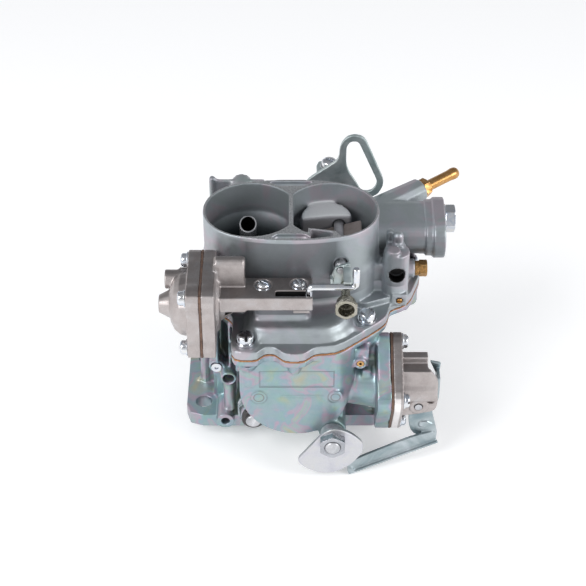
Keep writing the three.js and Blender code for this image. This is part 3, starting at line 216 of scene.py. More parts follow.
# ---------------------------------------------------------------- finishes
FILM = [  # thin passivation film: teal with pink, blue and gold patches
    (0.28, (0.36, 0.42, 0.31)),
    (0.40, (0.27, 0.41, 0.41)),
    (0.49, (0.29, 0.38, 0.44)),
    (0.55, (0.44, 0.34, 0.42)),
    (0.61, (0.31, 0.42, 0.42)),
    (0.71, (0.44, 0.42, 0.30)),
]
HORN_X, HORN_BORE, HORN_FOOT, HORN_TOP, RIM_Z = 20.8, 24.35, 86.0, 123.0, 125.0
SHELF, SHELF_R, SHELF_TOP = (18.8, 10.2), 13.6, 114.2  # x and y of its middle
TOWER_HOLE, MOUTH_R, HOLE_R = (55.6, 94.6), 4.2, 6.4  # x and z of its middle; radii
HOLE_FACE, HOLE_END = -17.2, -8.0  # y
BOWL_FRONT = -52.0  # y
PANEL = (3.0, 54.65, 19.4, 5.35)  # middle x and z, half width and half height
MARKS = ((-17.0, 42.6, 4.4), (23.4, 42.8, 4.0))  # x, z and radius
BORES_X, BORES_Y, BORES_FOOT = (-38, 35), (-18, 18), 14.0  # throttle bores: ranges of x and y; z
BEAM_SLOT = ((-8.2, -44.9, 90), (12, -40.1, 102.3))  # lowest and highest corner
COLLAR_R, COLLAR_BACK = (4.15, 7.0), -40.0  # secondary shaft's front collar: inner and outer radius; y
VENT_BORE, VENT_R = 3.8, 4.5
# Near black for painted shade in the tower's hole.
HOLE_SHADE = (0.02, 0.02, 0.02)


def horn_paint(tree, colour, gloss, x, y, z):
    """Painted shade inside the horn, darkest deep down, where it is also dull; painted shade on the front of
    its outside.
    """
    side = maths(tree, "ABSOLUTE", x)
    radius = distance(tree, side, y, (HORN_X, 0))
    bore = spread(tree, radius, HORN_BORE, HORN_BORE + 0.3, 1, 0)
    inside = both(tree, bore, spread(tree, z, HORN_FOOT - 2, HORN_FOOT, 0, 1))
    # Painted shade inside the horn, darker the deeper it goes.
    depth = spread(tree, z, HORN_TOP - 23, HORN_TOP - 11, 1.0, 0.25)
    colour = mix(tree, both(tree, inside, depth), colour, (0.05, 0.06, 0.065))
    # Painted shade on the front of the horn's outside.
    beyond = spread(tree, radius, HORN_BORE + 0.8, HORN_BORE + 1.2, 0, 1)
    outside = both(tree, beyond, within(tree, z, HORN_FOOT + 2, HORN_TOP))
    centre = both(tree, outside, facing(tree, FORWARD, 0.62, 0.98))
    colour = mix(tree, maths(tree, "MULTIPLY", centre, 0.7), colour, (0.12, 0.13, 0.14))
    return colour, maths(tree, "MAXIMUM", gloss, maths(tree, "MULTIPLY", inside, 0.62))


def tower_hole_paint(tree, colour, x, y, z):
    # Painted shade: the mouth of the tower's hole and the up-facing floor inside it go near black.
    away = distance(tree, x, z, TOWER_HOLE)
    mouth = both(tree, spread(tree, away, MOUTH_R, MOUTH_R + 0.3, 1, 0), within(tree, y, HOLE_FACE, HOLE_END))
    colour = mix(tree, mouth, colour, HOLE_SHADE)
    deep = within(tree, y, HOLE_FACE + 0.4, HOLE_END)
    inside = both(tree, spread(tree, away, HOLE_R, HOLE_R + 0.4, 1, 0), deep)
    return mix(tree, both(tree, inside, facing(tree, UP, 0.2, 0.5)), colour, HOLE_SHADE)


def shelf_paint(tree, colour, x, y, z):
    reach = distance(tree, x, y, SHELF)
    disc = spread(tree, reach, SHELF_R, SHELF_R + 0.4, 1, 0)
    shelf = both(tree, disc, within(tree, z, 96, SHELF_TOP + 0.6))
    # Painted light on the shelf's top, painted shade on its front face.
    top = both(tree, shelf, facing(tree, UP), spread(tree, z, SHELF_TOP - 1.2, SHELF_TOP - 0.6, 0, 1))
    before = spread(tree, y, SHELF[1] + 0.3, SHELF[1] + 1.3, 1, 0)
    front = both(tree, shelf, facing(tree, FORWARD, 0.3, 0.7), before)
    colour = mix(tree, top, colour, (0.85, 0.87, 0.88))
    return mix(tree, front, colour, (0.36, 0.36, 0.38))


def cover_paint(tree, colour, gloss, coords, x, y, z):
    """Painted shade in the horn and the tower's hole, painted light and shade on the half-round shelf, and
    the machined rim.
    """
    colour, gloss = horn_paint(tree, colour, gloss, x, y, z)
    colour = tower_hole_paint(tree, colour, x, y, z)
    colour = shelf_paint(tree, colour, x, y, z)
    rim = both(tree, spread(tree, z, RIM_Z, RIM_Z + 0.2, 0, 1), facing(tree, UP, 0.8, 0.95))
    stops = [(0.36, (0.24, 0.25, 0.26)), (0.5, (0.42, 0.43, 0.44)), (0.64, (0.54, 0.55, 0.56))]
    machined = ramp(tree, noise(tree, coords, 1.6, 3, 0.7), stops)
    return mix(tree, rim, colour, machined), gloss


def bowl_marks_paint(tree, colour, x, y, z):
    """Shadow lines round the blank panel and the two blank round marks on the bowl's front."""
    front = both(tree, facing(tree, FORWARD, 0.8, 0.95), spread(tree, y, BOWL_FRONT, BOWL_FRONT + 1, 1, 0))
    middle_x, middle_z, half_width, half_height = PANEL
    from_x = maths(tree, "ABSOLUTE", maths(tree, "SUBTRACT", x, middle_x))
    from_z = maths(tree, "ABSOLUTE", maths(tree, "SUBTRACT", z, middle_z))
    wide = maths(tree, "SUBTRACT", from_x, half_width)
    tall = maths(tree, "SUBTRACT", from_z, half_height)
    edge = within(tree, maths(tree, "MAXIMUM", wide, tall), -0.2, 0.2, 0.3)
    colour = mix(tree, both(tree, front, edge, 0.6), colour, (0.16, 0.17, 0.17))
    for mark_x, mark_z, mark_r in MARKS:
        away = distance(tree, x, z, (mark_x, mark_z))
        for ring in (mark_r, mark_r * 0.6):
            line = within(tree, away, ring - 0.15, ring + 0.15, 0.3)
            colour = mix(tree, both(tree, front, line, 0.75), colour, (0.20, 0.18, 0.18))
    return colour


def body_paint(tree, colour, gloss, coords, x, y, z):
    """Dull grey stains, painted shade in the throttle bores, and painted shadow lines round the marks on the
    bowl.
    """
    stain = spread(tree, noise(tree, coords, 0.09, 3, 0.6, 1.2), 0.40, 0.70, 0, 0.5)
    colour = mix(tree, stain, colour, (0.38, 0.41, 0.42))
    # Painted shade in the throttle bores.
    above = spread(tree, z, BORES_FOOT, BORES_FOOT + 6, 0, 1)
    bores = both(tree, above, within(tree, y, *BORES_Y), within(tree, x, *BORES_X))
    colour = mix(tree, maths(tree, "MULTIPLY", bores, 0.7), colour, (0.12, 0.13, 0.14))
    return bowl_marks_paint(tree, colour, x, y, z), gloss


def tube_paint(tree, colour, gloss, coords, x, y, z):
    """Painted shade: the inside of the vent tube is painted near black."""
    away = distance(tree, x, y, middle("vent_tube").xy)
    inside = spread(tree, away, VENT_BORE + 0.02, VENT_BORE + 0.1, 1, 0)
    return mix(tree, inside, colour, (0.01, 0.01, 0.01)), gloss


def cast_paint(tree, colour, gloss, coords, x, y, z):
    """The edge of the pump cover's flange is lighter; the wire's slot in the beam is in shadow."""
    slot = in_box(tree, (x, y, z), *BEAM_SLOT, (0.4, 0.1, 0.3))
    colour = mix(tree, slot, colour, (0.03, 0.028, 0.028))
    start = cad_box("pump_cover")[0].x
    edge = both(tree, within(tree, x, start - 0.5, start + 3.4), facing(tree, FORWARD, 0.5, 0.8))
    return mix(tree, edge, colour, (0.92, 0.88, 0.87)), gloss


def shaft_paint(tree, colour, gloss, coords, x, y, z):
    """Painted shade on the collar round the secondary shaft's front end; its turned end stays light."""
    centre = middle("secondary_shaft")
    away = distance(tree, x, z, (centre.x, centre.z))
    collar = both(tree, within(tree, away, *COLLAR_R), spread(tree, y, COLLAR_BACK - 1, COLLAR_BACK, 1, 0))
    return mix(tree, collar, colour, (0.09, 0.085, 0.085)), gloss


def idle_paint(tree, colour, gloss, coords, x, y, z):
    dark = spread(tree, noise(tree, coords, 1.1, 3, 0.7), 0.45, 0.6, 0, 0.75)
    return mix(tree, dark, colour, (0.20, 0.15, 0.06)), gloss


def sheet_paint(tree, colour, gloss, coords, x, y, z):
    """Fibre sheet: darker flecks."""
    flecks = spread(tree, noise(tree, coords, 1.4, 4, 0.7), 0.42, 0.6, 0, 0.6)
    return mix(tree, flecks, colour, (0.16, 0.07, 0.03)), gloss


GREY = [
    (0.34, (0.38, 0.42, 0.43)),
    (0.48, (0.41, 0.44, 0.47)),
    (0.56, (0.46, 0.42, 0.46)),
    (0.68, (0.39, 0.44, 0.44)),
]
PLATE = [(0.35, (0.30, 0.25, 0.23)), (0.6, (0.38, 0.33, 0.31))]
NUT = [(0.35, (0.34, 0.35, 0.38)), (0.6, (0.46, 0.47, 0.50))]
CAST = [(0.35, (0.41, 0.37, 0.36)), (0.52, (0.46, 0.42, 0.41)), (0.68, (0.50, 0.48, 0.48))]
BRIGHT = [(0.35, (0.59, 0.64, 0.71)), (0.5, (0.69, 0.71, 0.75)), (0.66, (0.72, 0.72, 0.71))]
# A darker copy of the zinc sheet colours: painted shade, for the pump lever and the return spring.
SHADED_ZINC = [(0.34, (0.23, 0.30, 0.33)), (0.5, (0.35, 0.41, 0.43)), (0.64, (0.48, 0.53, 0.56))]
LOOP = [(0.34, (0.33, 0.40, 0.40)), (0.5, (0.46, 0.52, 0.52)), (0.66, (0.59, 0.63, 0.62))]
DISC = [(0.35, (0.53, 0.53, 0.58)), (0.5, (0.59, 0.59, 0.62)), (0.66, (0.61, 0.61, 0.61))]
STEEL = [(0.35, (0.42, 0.43, 0.45)), (0.55, (0.58, 0.58, 0.60)), (0.68, (0.70, 0.70, 0.72))]
NICKEL = [(0.35, (0.31, 0.30, 0.24)), (0.55, (0.38, 0.36, 0.31)), (0.68, (0.42, 0.41, 0.37))]
BRASS = [(0.35, (0.46, 0.23, 0.07)), (0.55, (0.55, 0.31, 0.12)), (0.68, (0.57, 0.36, 0.17))]
FIBRE = [(0.4, (0.46, 0.22, 0.10)), (0.6, (0.36, 0.16, 0.07))]
RUBBER = [(0.4, (0.09, 0.05, 0.035)), (0.6, (0.16, 0.09, 0.06))]
BLACK = [(0.4, (0.03, 0.03, 0.03)), (0.6, (0.05, 0.05, 0.05))]
# top above 1 paints light on faces that point up, and below 1 paints shade on them.
BODY = dict(paint=body_paint, detail=2.5, top=1.25)
COVER = dict(paint=cover_paint, detail=2.5, top=0.8)
FINISHES = {  # colours, patch scale, metallic, roughness range, grain scale, bump, speckle; then the extras
    "body_zinc": ((FILM, 0.055, 0.85, (0.34, 0.5), 3.4, 0.16, 0.06), BODY),
    "cover_zinc": ((GREY, 0.04, 0.82, (0.42, 0.54), 3.0, 0.12, 0.05), COVER),
    "cast_aluminium": ((CAST, 0.07, 0.85, (0.36, 0.52), 2.6, 0.3, 0.1), dict(paint=cast_paint, top=0.45)),
    "bright_zinc": ((BRIGHT, 0.2, 1.0, (0.10, 0.22), 2.5, 0.05, 0.05), {}),
    "lever_zinc": ((SHADED_ZINC, 0.06, 0.9, (0.30, 0.42), 2.5, 0.05, 0.04), dict(top=1.0)),
    "loop_zinc": ((LOOP, 0.06, 0.9, (0.30, 0.42), 2.5, 0.05, 0.04), dict(top=1.0)),
    "disc_zinc": ((DISC, 0.08, 0.9, (0.30, 0.40), 1.2, 0.02, 0.03), {}),
    "steel": ((STEEL, 0.1, 0.9, (0.28, 0.40), 2.0, 0.02, 0.05), {}),
    "plate_zinc": ((PLATE, 0.08, 0.8, (0.4, 0.5), 2.0, 0.04, 0.05), {}),
    "nut_zinc": ((NUT, 0.1, 0.95, (0.2, 0.3), 2.0, 0.04, 0.04), {}),
    "shaft_steel": ((STEEL, 0.1, 0.9, (0.34, 0.46), 1.6, 0.04, 0.12), dict(paint=shaft_paint)),
    "tube_steel": ((STEEL, 0.15, 0.9, (0.22, 0.36), 2.5, 0.05, 0.05), dict(paint=tube_paint)),
    "nickel": ((NICKEL, 0.2, 0.95, (0.20, 0.32), 2.5, 0.06, 0.08), {}),
    "brass": ((BRASS, 0.2, 0.95, (0.18, 0.32), 2.0, 0.06, 0.08), {}),
    "old_brass": ((BRASS, 0.2, 0.8, (0.35, 0.5), 1.5, 0.3, 0.2), dict(paint=idle_paint)),
    "gasket": ((FIBRE, 0.2, 0.0, (0.75, 0.9), 1.5, 0.4, 0.2), dict(paint=sheet_paint)),
    "diaphragm": ((RUBBER, 0.15, 0.0, (0.5, 0.7), 1.6, 0.3, 0.2), {}),
    "float_plastic": ((BLACK, 0.2, 0.0, (0.4, 0.55), 1.5, 0.1, 0.1), {}),
}


# ---------------------------------------------------------------- pieces from mesh code
def revolve(profile, segments=48, ring=False):
    """Revolves (radius, height) points about Z: from axis to axis, or a closed ring."""
    mesh = bmesh.new()
    rings = []
    for radius, height in profile:
        if radius < 1e-6:
            rings.append([mesh.verts.new((0, 0, height))])
            continue
        angles = [2 * math.pi * i / segments for i in range(segments)]
        rings.append([mesh.verts.new((radius * math.cos(a), radius * math.sin(a), height)) for a in angles])
    for low, high in zip(rings, rings[1:] + rings[:1] if ring else rings[1:]):
        for i in range(segments):
            j = i + 1
            corners = [low[i % len(low)], low[j % len(low)], high[j % len(high)], high[i % len(high)]]
            unique = list(dict.fromkeys(corners))
            if len(unique) > 2:
                mesh.faces.new(unique)
    bmesh.ops.recalc_face_normals(mesh, faces=mesh.faces)
    return mesh


def hexagon(across, low, high, chamfer=0.5, turn=0.0):
    """A hexagon bar along Z with its corners turned down at both ends."""
    mesh = bmesh.new()
    corner = across / math.sqrt(3)
    steps = 8
    rings = []
    half = chamfer * 0.5
    for height, pull in ((low, chamfer), (low + half, 0), (high - half, 0), (high, chamfer)):
        ring = []
        for i in range(6 * steps):
            angle = 2 * math.pi * i / (6 * steps)
            within_side = (angle % (math.pi / 3)) - math.pi / 6
            radius = min(across / 2 / math.cos(within_side), corner - pull)
            heading = angle + turn
            ring.append(mesh.verts.new((radius * math.cos(heading), radius * math.sin(heading), height)))
        rings.append(ring)
    for lower, upper in zip(rings, rings[1:]):
        for i in range(6 * steps):
            j = (i + 1) % (6 * steps)
            mesh.faces.new((lower[i], lower[j], upper[j], upper[i]))
    mesh.faces.new(reversed(rings[0]))
    mesh.faces.new(rings[-1])
    bmesh.ops.recalc_face_normals(mesh, faces=mesh.faces)
    return mesh


def block(low, high):
    mesh = bmesh.new()
    size = [b - a for a, b in zip(low, high)]
    centre = [(a + b) / 2 for a, b in zip(low, high)]
    bmesh.ops.create_cube(mesh, size=1, matrix=Matrix.Translation(centre) @ Matrix.Diagonal((*size, 1)))
    return mesh


def aim(origin, direction, turn=0.0):
    """Places a mesh built along +Z at origin (mm), pointing along direction, turned about its own axis."""
    spin = Matrix.Rotation(turn, 4, "Z")
    return Matrix.Translation(origin) @ Vector(direction).to_track_quat("Z", "Y").to_matrix().to_4x4() @ spin


def merged(*meshes):
    whole = bmesh.new()
    for part in meshes:
        holder = bpy.data.meshes.new("part")
        part.to_mesh(holder)
        whole.from_mesh(holder)
        bpy.data.meshes.remove(holder)
        part.free()
    return whole


def plain_object(name, mesh, place=Matrix.Identity(4)):
    data = bpy.data.meshes.new(name)
    mesh.transform(Matrix.Diagonal((MM, MM, MM, 1)) @ place)
    mesh.to_mesh(data)
    mesh.free()
    made = bpy.data.objects.new(name, data)
    bpy.context.scene.collection.objects.link(made)
    return made


def evaluated(thing):
    """Bakes the object's modifiers into its mesh."""
    bpy.context.view_layer.update()
    baked = bpy.data.meshes.new_from_object(thing.evaluated_get(bpy.context.evaluated_depsgraph_get()))
    thing.modifiers.clear()
    thing.data = baked


def carve(thing, *cutters):
    for cutter in cutters:
        modifier = thing.modifiers.new("cut", "BOOLEAN")
        modifier.operation = "DIFFERENCE"
        modifier.solver = "EXACT"
        modifier.object = cutter
    evaluated(thing)
    for cutter in cutters:
        bpy.data.objects.remove(cutter)


def paint(thing, finish):
    thing.data.materials.clear()
    thing.data.materials.append(materials[finish])


def stand_in(thing, finish, node, sharp=35):
    """thing takes the CAD node's place and moves with its body."""
    paint(thing, finish)
    for face in thing.data.polygons:
        face.use_smooth = True
    thing.data.set_sharp_from_angle(angle=math.radians(sharp))
    body = frame["nodes"][node]["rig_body"]
    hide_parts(node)
    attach(thing, body)


def soften(thing, width, segments=2, angle=30):
    modifier = thing.modifiers.new("edge", "BEVEL")
    modifier.width = width * MM
    modifier.segments = segments
    modifier.limit_method = "ANGLE"
    modifier.angle_limit = math.radians(angle)
    modifier.harden_normals = False


# ---------------------------------------------------------------- fasteners
class Screw:
    """Sizes of one kind of slotted screw: washer and head heights, radii of washer, head and shank, slot."""

    def __init__(self, washer, head, washer_r, head_r, shank_r, slot=(1.5, 1.9)):
        self.washer, self.head = washer, head
        self.washer_r, self.head_r, self.shank_r = washer_r, head_r, shank_r
        self.slot_width, self.slot_depth = slot

    def profile(self, length):
        """From the shank's end up over the washer and the domed head, whose top is at height 0."""
        tall = self.washer + self.head
        return [
            (0, -length), (self.shank_r - 0.3, -length), (self.shank_r, -length + 0.4), (self.shank_r, -tall),
            (self.washer_r - 0.15, -tall), (self.washer_r, -tall + 0.15), (self.washer_r, -self.head - 0.15),
            (self.washer_r - 0.2, -self.head), (self.head_r, -self.head), (self.head_r, -1.3),
            (self.head_r - 0.15, -0.9), (self.head_r - 0.5, -0.45), (self.head_r - 1.1, -0.15),
            (self.head_r - 2.0, 0), (0, 0.02),
        ]


COVER_SCREW = Screw(1.2, 4.4, 5.1, 4.3, 2.4)
CLAMP_SCREW = Screw(1.2, 3.4, 5.0, 4.2, 2.0)
BEAM_SCREW = Screw(0.2, 2.6, 4.2, 3.4, 1.7, slot=(1.1, 1.3))
VACUUM_SCREW = Screw(0.9, 3.3, 4.4, 3.7, 2.0, slot=(1.2, 1.5))
PUMP_SCREW = Screw(0.9, 2.7, 4.4, 3.7, 2.0, slot=(1.2, 1.5))


def screw(kind, node, axis, sense, turn):
    """A screw whose head's top is at the CAD node's far end along axis; turn is the slot's angle."""
    low, high = cad_box(node)
    index = "xyz".index(axis)
    origin = (low + high) / 2
    origin[index] = high[index] if sense > 0 else low[index]
    place = aim(origin, AXIS[axis] * sense, turn)
    made = plain_object(node + "_look", revolve(kind.profile(high[index] - low[index]), 56), place)
    half = kind.slot_width / 2
    carve(made, plain_object("slot", block((-half, -8, -kind.slot_depth), (half, 8, 3)), place))
    soften(made, 0.12, 2, 50)
    stand_in(made, "bright_zinc", node)


def all_screws():
    turns = {"front_left": 0.15, "front_right": -0.06, "right": 0.5, "rear": 1.2, "rear_left": 0.8}
    for name, turn in turns.items():
        screw(COVER_SCREW, "cover_screw_" + name, "z", 1, turn)
    screw(CLAMP_SCREW, "clamp_screw", "z", 1, 0.9)
    screw(BEAM_SCREW, "beam_screw_1", "z", 1, 1.0)
    screw(BEAM_SCREW, "beam_screw_2", "z", 1, 0.5)
    for number, turn in enumerate((0.1, 1.2, 0.6, 1.5), start=1):
        screw(VACUUM_SCREW, f"vacuum_screw_{number}", "x", -1, turn)
        screw(PUMP_SCREW, f"pump_screw_{number}", "x", 1, turn)


def cam_nut():
    low, high = cad_box("cam_nut")
    depth = high.y - low.y
    seat = (middle("cam_nut").x, high.y, middle("cam_nut").z)
    nut = plain_object("cam_nut_look", hexagon(13, 0, depth, 0.6), aim(seat, FORWARD, math.pi / 6))
    bore = [(0, -2), (4.05, -2), (4.05, depth - 0.5), (4.9, depth + 0.4), (0, depth + 0.4)]
    carve(nut, plain_object("bore", revolve(bore), aim(seat, FORWARD)))
    soften(nut, 0.12)
    stand_in(nut, "nut_zinc", "cam_nut", 28)


def inlet_plug_bolt():
    tall = 6.4
    centre = middle("inlet_plug_bolt")
    place = aim((cad_box("inlet_plug_bolt")[1].x - tall, centre.y, centre.z), (1, 0, 0))
    washer = revolve([
        (0, -7.5), (4.2, -7.5), (4.5, -7.1), (4.5, 0.05), (7.8, 0.05),
        (8, 0.25), (8, 1.0), (7.8, 1.2), (0, 1.2),
    ])
    head = hexagon(13.2, 1.1, tall, 0.7)
    bolt = plain_object("inlet_plug_bolt_look", merged(washer, head), place)
    carve(bolt, plain_object("dish", revolve([(0, 5.6), (3.2, 5.6), (3.6, 7), (0, 7)]), place))
    soften(bolt, 0.15)
    stand_in(bolt, "bright_zinc", "inlet_plug_bolt", 28)


def idle_jet():
    centre = middle("idle_jet")
    place = aim((cad_box("idle_jet")[0].x, centre.y, centre.z), (1, 0, 0))
    shank = revolve([(0, 0), (2.5, 0), (2.5, 5.55), (3.8, 5.55), (4, 5.75), (4, 7.7), (3.7, 7.9), (0, 7.9)])
    jet = plain_object("idle_jet_look", merged(shank, hexagon(8, 7.8, 12.2, 0.5)), place)
    soften(jet, 0.12)
    stand_in(jet, "old_brass", "idle_jet", 28)


def bracket_screw():
    tall = 4
    centre = middle("bracket_screw")
    place = aim((centre.x, cad_box("bracket_screw")[1].y - tall, centre.z), (0, 1, 0))
    stem = revolve([(0, -12.3), (2.2, -12.3), (2.2, 0.1), (0, 0.1)])
    made = plain_object("bracket_screw_look", merged(stem, hexagon(8.6, 0, tall, 0.5)), place)
    soften(made, 0.12)
    stand_in(made, "bright_zinc", "bracket_screw", 28)


# ---------------------------------------------------------------- tubes, shafts and wire
def tube(points, radius, sides=20):
    """A round bar through the points (mm), with a radius at each point and a flat face at both ends."""
    mesh = bmesh.new()
    rings = []
    last = len(points) - 1
    side = Vector((0, 1, 0))
    for i, point in enumerate(points):
        along = (points[min(i + 1, last)] - points[max(i - 1, 0)]).normalized()
        across = (side - along * side.dot(along)).normalized()
        other = along.cross(across)
        angles = [2 * math.pi * k / sides for k in range(sides)]
        spokes = [across * math.cos(a) + other * math.sin(a) for a in angles]
        rings.append([mesh.verts.new(point + radius[i] * spoke) for spoke in spokes])
    for lower, upper in zip(rings, rings[1:]):
        for k in range(sides):
            j = (k + 1) % sides
            mesh.faces.new((lower[k], lower[j], upper[j], upper[k]))
    mesh.faces.new(reversed(rings[0]))
    mesh.faces.new(rings[-1])
    bmesh.ops.recalc_face_normals(mesh, faces=mesh.faces)
    return mesh


def rounded_path(corners, bend, steps=8):
    """Corner points joined by straight runs and round bends."""
    path = [corners[0]]
    for before, corner, after in zip(corners, corners[1:], corners[2:]):
        start = corner + (before - corner).normalized() * bend
        end = corner + (after - corner).normalized() * bend
        for i in range(steps + 1):
            t = i / steps
            path.append(start * (1 - t) ** 2 + corner * (2 * t * (1 - t)) + end * t ** 2)
    path.append(corners[-1])
    return path


def pulldown_wire():
    """Bent wire: from the diaphragm into the beam, out of its slot, along and up to its end."""
    low, high = cad_box("pulldown_rod")
    r = 1.8
    centre_y, centre_z = -38, 92.8
    y = low.y + r
    beam_z, top_z = 99.0, 106.7
    bend_start, bend_end, slot_x, end_x = -40.8, -34, 9.2, high.x - r
    corners = [Vector(p) for p in (
        (low.x, centre_y, centre_z), (bend_start, centre_y, centre_z), (bend_end, y, beam_z),
        (slot_x, y, beam_z), (slot_x, y, top_z), (end_x, y, top_z), (end_x, y, high.z),
    )]
    path = rounded_path(corners, 2.6)
    tip = path[-1]
    path = path[:-1] + [tip - Vector((0, 0, 0.5)), tip - Vector((0, 0, 0.12)), tip]
    radius = [r] * (len(path) - 2) + [r * 0.86, r * 0.6]
    wire = plain_object("pulldown_wire", tube(path, radius))
    stand_in(wire, "bright_zinc", "pulldown_rod", 60)


def pipe():
    """Brass inlet pipe: hexagon collar, tube and a flared bead at the end."""
    root, turn = (73, 56, 100), math.radians(40)
    place = aim(root, (math.cos(turn), math.sin(turn), 0))
    outer = [
        (1.8, -12), (3.3, -12), (3.3, -1.0), (3.1, -1.0), (3.1, 20.6), (3.15, 21.4),
        (3.4, 23.4), (3.45, 24.4), (3.3, 25.6), (2.8, 26.7), (2.4, 27), (1.8, 27),
    ]
    collar = hexagon(9.6, -0.9, 3.4, 0.5)
    made = plain_object("inlet_pipe_look", merged(revolve(outer, 48, ring=True), collar), place)
    stand_in(made, "brass", "inlet_pipe", 30)


def vent_pipe():
    """Open tube with its top cut on a slant."""
    centre = middle("vent_tube")
    place = Matrix.Translation((centre.x, centre.y, 0))
    foot, tall, slant, slant_z = 82.0, 118.0, math.radians(27), 116.0
    outline = [(VENT_BORE, foot), (VENT_R, foot), (VENT_R, tall), (VENT_BORE, tall)]
    wall = revolve(outline, 64, ring=True)
    made = plain_object("vent_tube_look", wall, place)
    lean = Matrix.Translation((centre.x, 0, slant_z)) @ Matrix.Rotation(slant, 4, "X")
    top = plain_object("top", block((-7, -7, 0), (7, 7, 6)), lean)
    carve(made, top)
    soften(made, 0.12, 2, 40)
    stand_in(made, "tube_steel", "vent_tube", 40)


def shaft(node, collars, slot_y):
    """A throttle shaft turned along Y, with (radius, from, to) collars and the slot its plate sits in."""
    low, high = cad_box(node)
    x = (low.x + high.x) / 2
    z = (low.z + high.z) / 2
    bar, edge = 4, 0.2
    slot_x, slot_z = 6, 0.85
    profile = [(0, low.y), (bar - 0.5, low.y), (bar, low.y + 0.5)]
    for r, start, end in collars:
        profile += [(bar, start), (r - edge, start), (r, start + edge)]
        profile += [(r, end - edge), (r - edge, end), (bar, end)]
    profile += [(bar, high.y - 0.4), (bar - 0.4, high.y), (0, high.y)]
    made = plain_object(node + "_look", revolve(profile), aim((x, 0, z), (0, 1, 0)))
    slot = block((x - slot_x, -slot_y, z - slot_z), (x + slot_x, slot_y, z + slot_z))
    carve(made, plain_object("slot", slot))
    stand_in(made, "shaft_steel", node, 40)


REAR_SPACER = (6.2, 33.3, 36.9)
SHAFTS = [  # node, collars, half the length of the plate's slot
    ("primary_shaft", [(6.2, -59.5, -54.1), REAR_SPACER], 13.3),
    ("secondary_shaft", [(6.2, -44.5, -41.3), REAR_SPACER], 17.8),
]


def clamp():
    """Hollow hexagon on a stem that grips the choke cable."""
    low, high = cad_box("cable_clamp")
    centre = (low + high) / 2
    place = aim((centre.x, low.y, centre.z), (0, 1, 0))
    depth = high.y - low.y
    body = revolve([
        (0, 2.1), (5.2, 2.1), (5.3, 2.3), (5.0, 2.6), (5.0, 6.3), (4.7, 6.7), (2.4, 6.9),
        (2.4, depth - 2.6), (2.05, depth - 2.6), (2.05, depth - 0.2), (1.8, depth), (0, depth),
    ])
    head = hexagon(11.1, 0, 2.3, 0.7, math.pi / 6)
    made = plain_object("cable_clamp_look", merged(head, body), place)
    bore = [(0, -1), (4.6, -1), (4.0, 0.5), (4.0, 5.5), (0, 5.5)]
    carve(made, plain_object("bore", revolve(bore), place))
    soften(made, 0.12, 2, 40)
    stand_in(made, "nickel", "cable_clamp", 28)


def jets():
    """The main jet has a round hole, the tower's jet a driver slot."""
    openings = {
        "main_jet": revolve([(0, -1), (0.8, -1), (0.7, 3), (0, 3)]),
        "tower_jet": block((-3, -0.3, -1), (3, 0.3, 0.7)),
    }
    for node, radius in (("main_jet", 2.0), ("tower_jet", 1.5)):
        low, high = cad_box(node)
        centre = (low + high) / 2
        depth = high.y - low.y
        place = aim((centre.x, low.y, centre.z), (0, 1, 0))
        plug = revolve([(0, 0), (radius - 0.2, 0), (radius, 0.2), (radius, depth), (0, depth)])
        made = plain_object(node + "_look", plug, place)
        carve(made, plain_object("opening", openings[node], place))
        soften(made, 0.08)
        stand_in(made, "brass", node, 30)


# ---------------------------------------------------------------- castings and sheet parts
def cast_surface(node, finish, voxel, rounds):
    """A CAD casting or sheet part under a fine skin, which rounds its edges a little."""
    thing = frame["nodes"][node]
    remesh = thing.modifiers.new("skin", "REMESH")
    remesh.mode = "VOXEL"
    remesh.voxel_size = voxel * MM
    remesh.use_smooth_shade = True
    smooth = thing.modifiers.new("soft", "SMOOTH")
    smooth.factor = 0.5
    smooth.iterations = rounds
    paint(thing, finish)


def relax(node, low, high, rounds):
    """Blurs the skin inside a box (mm), so that steps read as one round form."""
    tree = bpy.data.node_groups.new(node + "_relax", "GeometryNodeTree")
    tree.interface.new_socket("Geometry", in_out="INPUT", socket_type="NodeSocketGeometry")
    tree.interface.new_socket("Geometry", in_out="OUTPUT", socket_type="NodeSocketGeometry")
    start, end = tree.nodes.new("NodeGroupInput"), tree.nodes.new("NodeGroupOutput")
    place = tree.nodes.new("GeometryNodeInputPosition").outputs[0]
    parts = put(tree, "ShaderNodeSeparateXYZ", Vector=place)
    fade = (1.5 * MM,) * 3
    weight = in_box(tree, parts.outputs, [a * MM for a in low], [b * MM for b in high], fade)
    vectors = {"data_type": "FLOAT_VECTOR"}
    blur = put(tree, "GeometryNodeBlurAttribute", vectors, Iterations=rounds, Weight=weight)
    tree.links.new(place, next(i for i in blur.inputs if i.enabled and i.type == "VECTOR"))
    moved = put(tree, "GeometryNodeSetPosition", Geometry=start.outputs[0])
    tree.links.new(next(o for o in blur.outputs if o.enabled), moved.inputs["Position"])
    tree.links.new(moved.outputs[0], end.inputs[0])
    modifier = frame["nodes"][node].modifiers.new("relax", "NODES")
    modifier.node_group = tree


def crisp(node, finish, width=0.15):
    """A small CAD piece with lightly broken edges."""
    thing = frame["nodes"][node]
    soften(thing, width, 2, 35)
    paint(thing, finish)


def coil(node, finish):
    """A spring, rounded; every spring is in the record's steel slot."""
    thing = frame["nodes"][node]
    subsurf = thing.modifiers.new("round", "SUBSURF")
    subsurf.levels = 2
    subsurf.render_levels = 2
    thing.data.materials.clear()
    thing.data.materials.append(materials[finish])


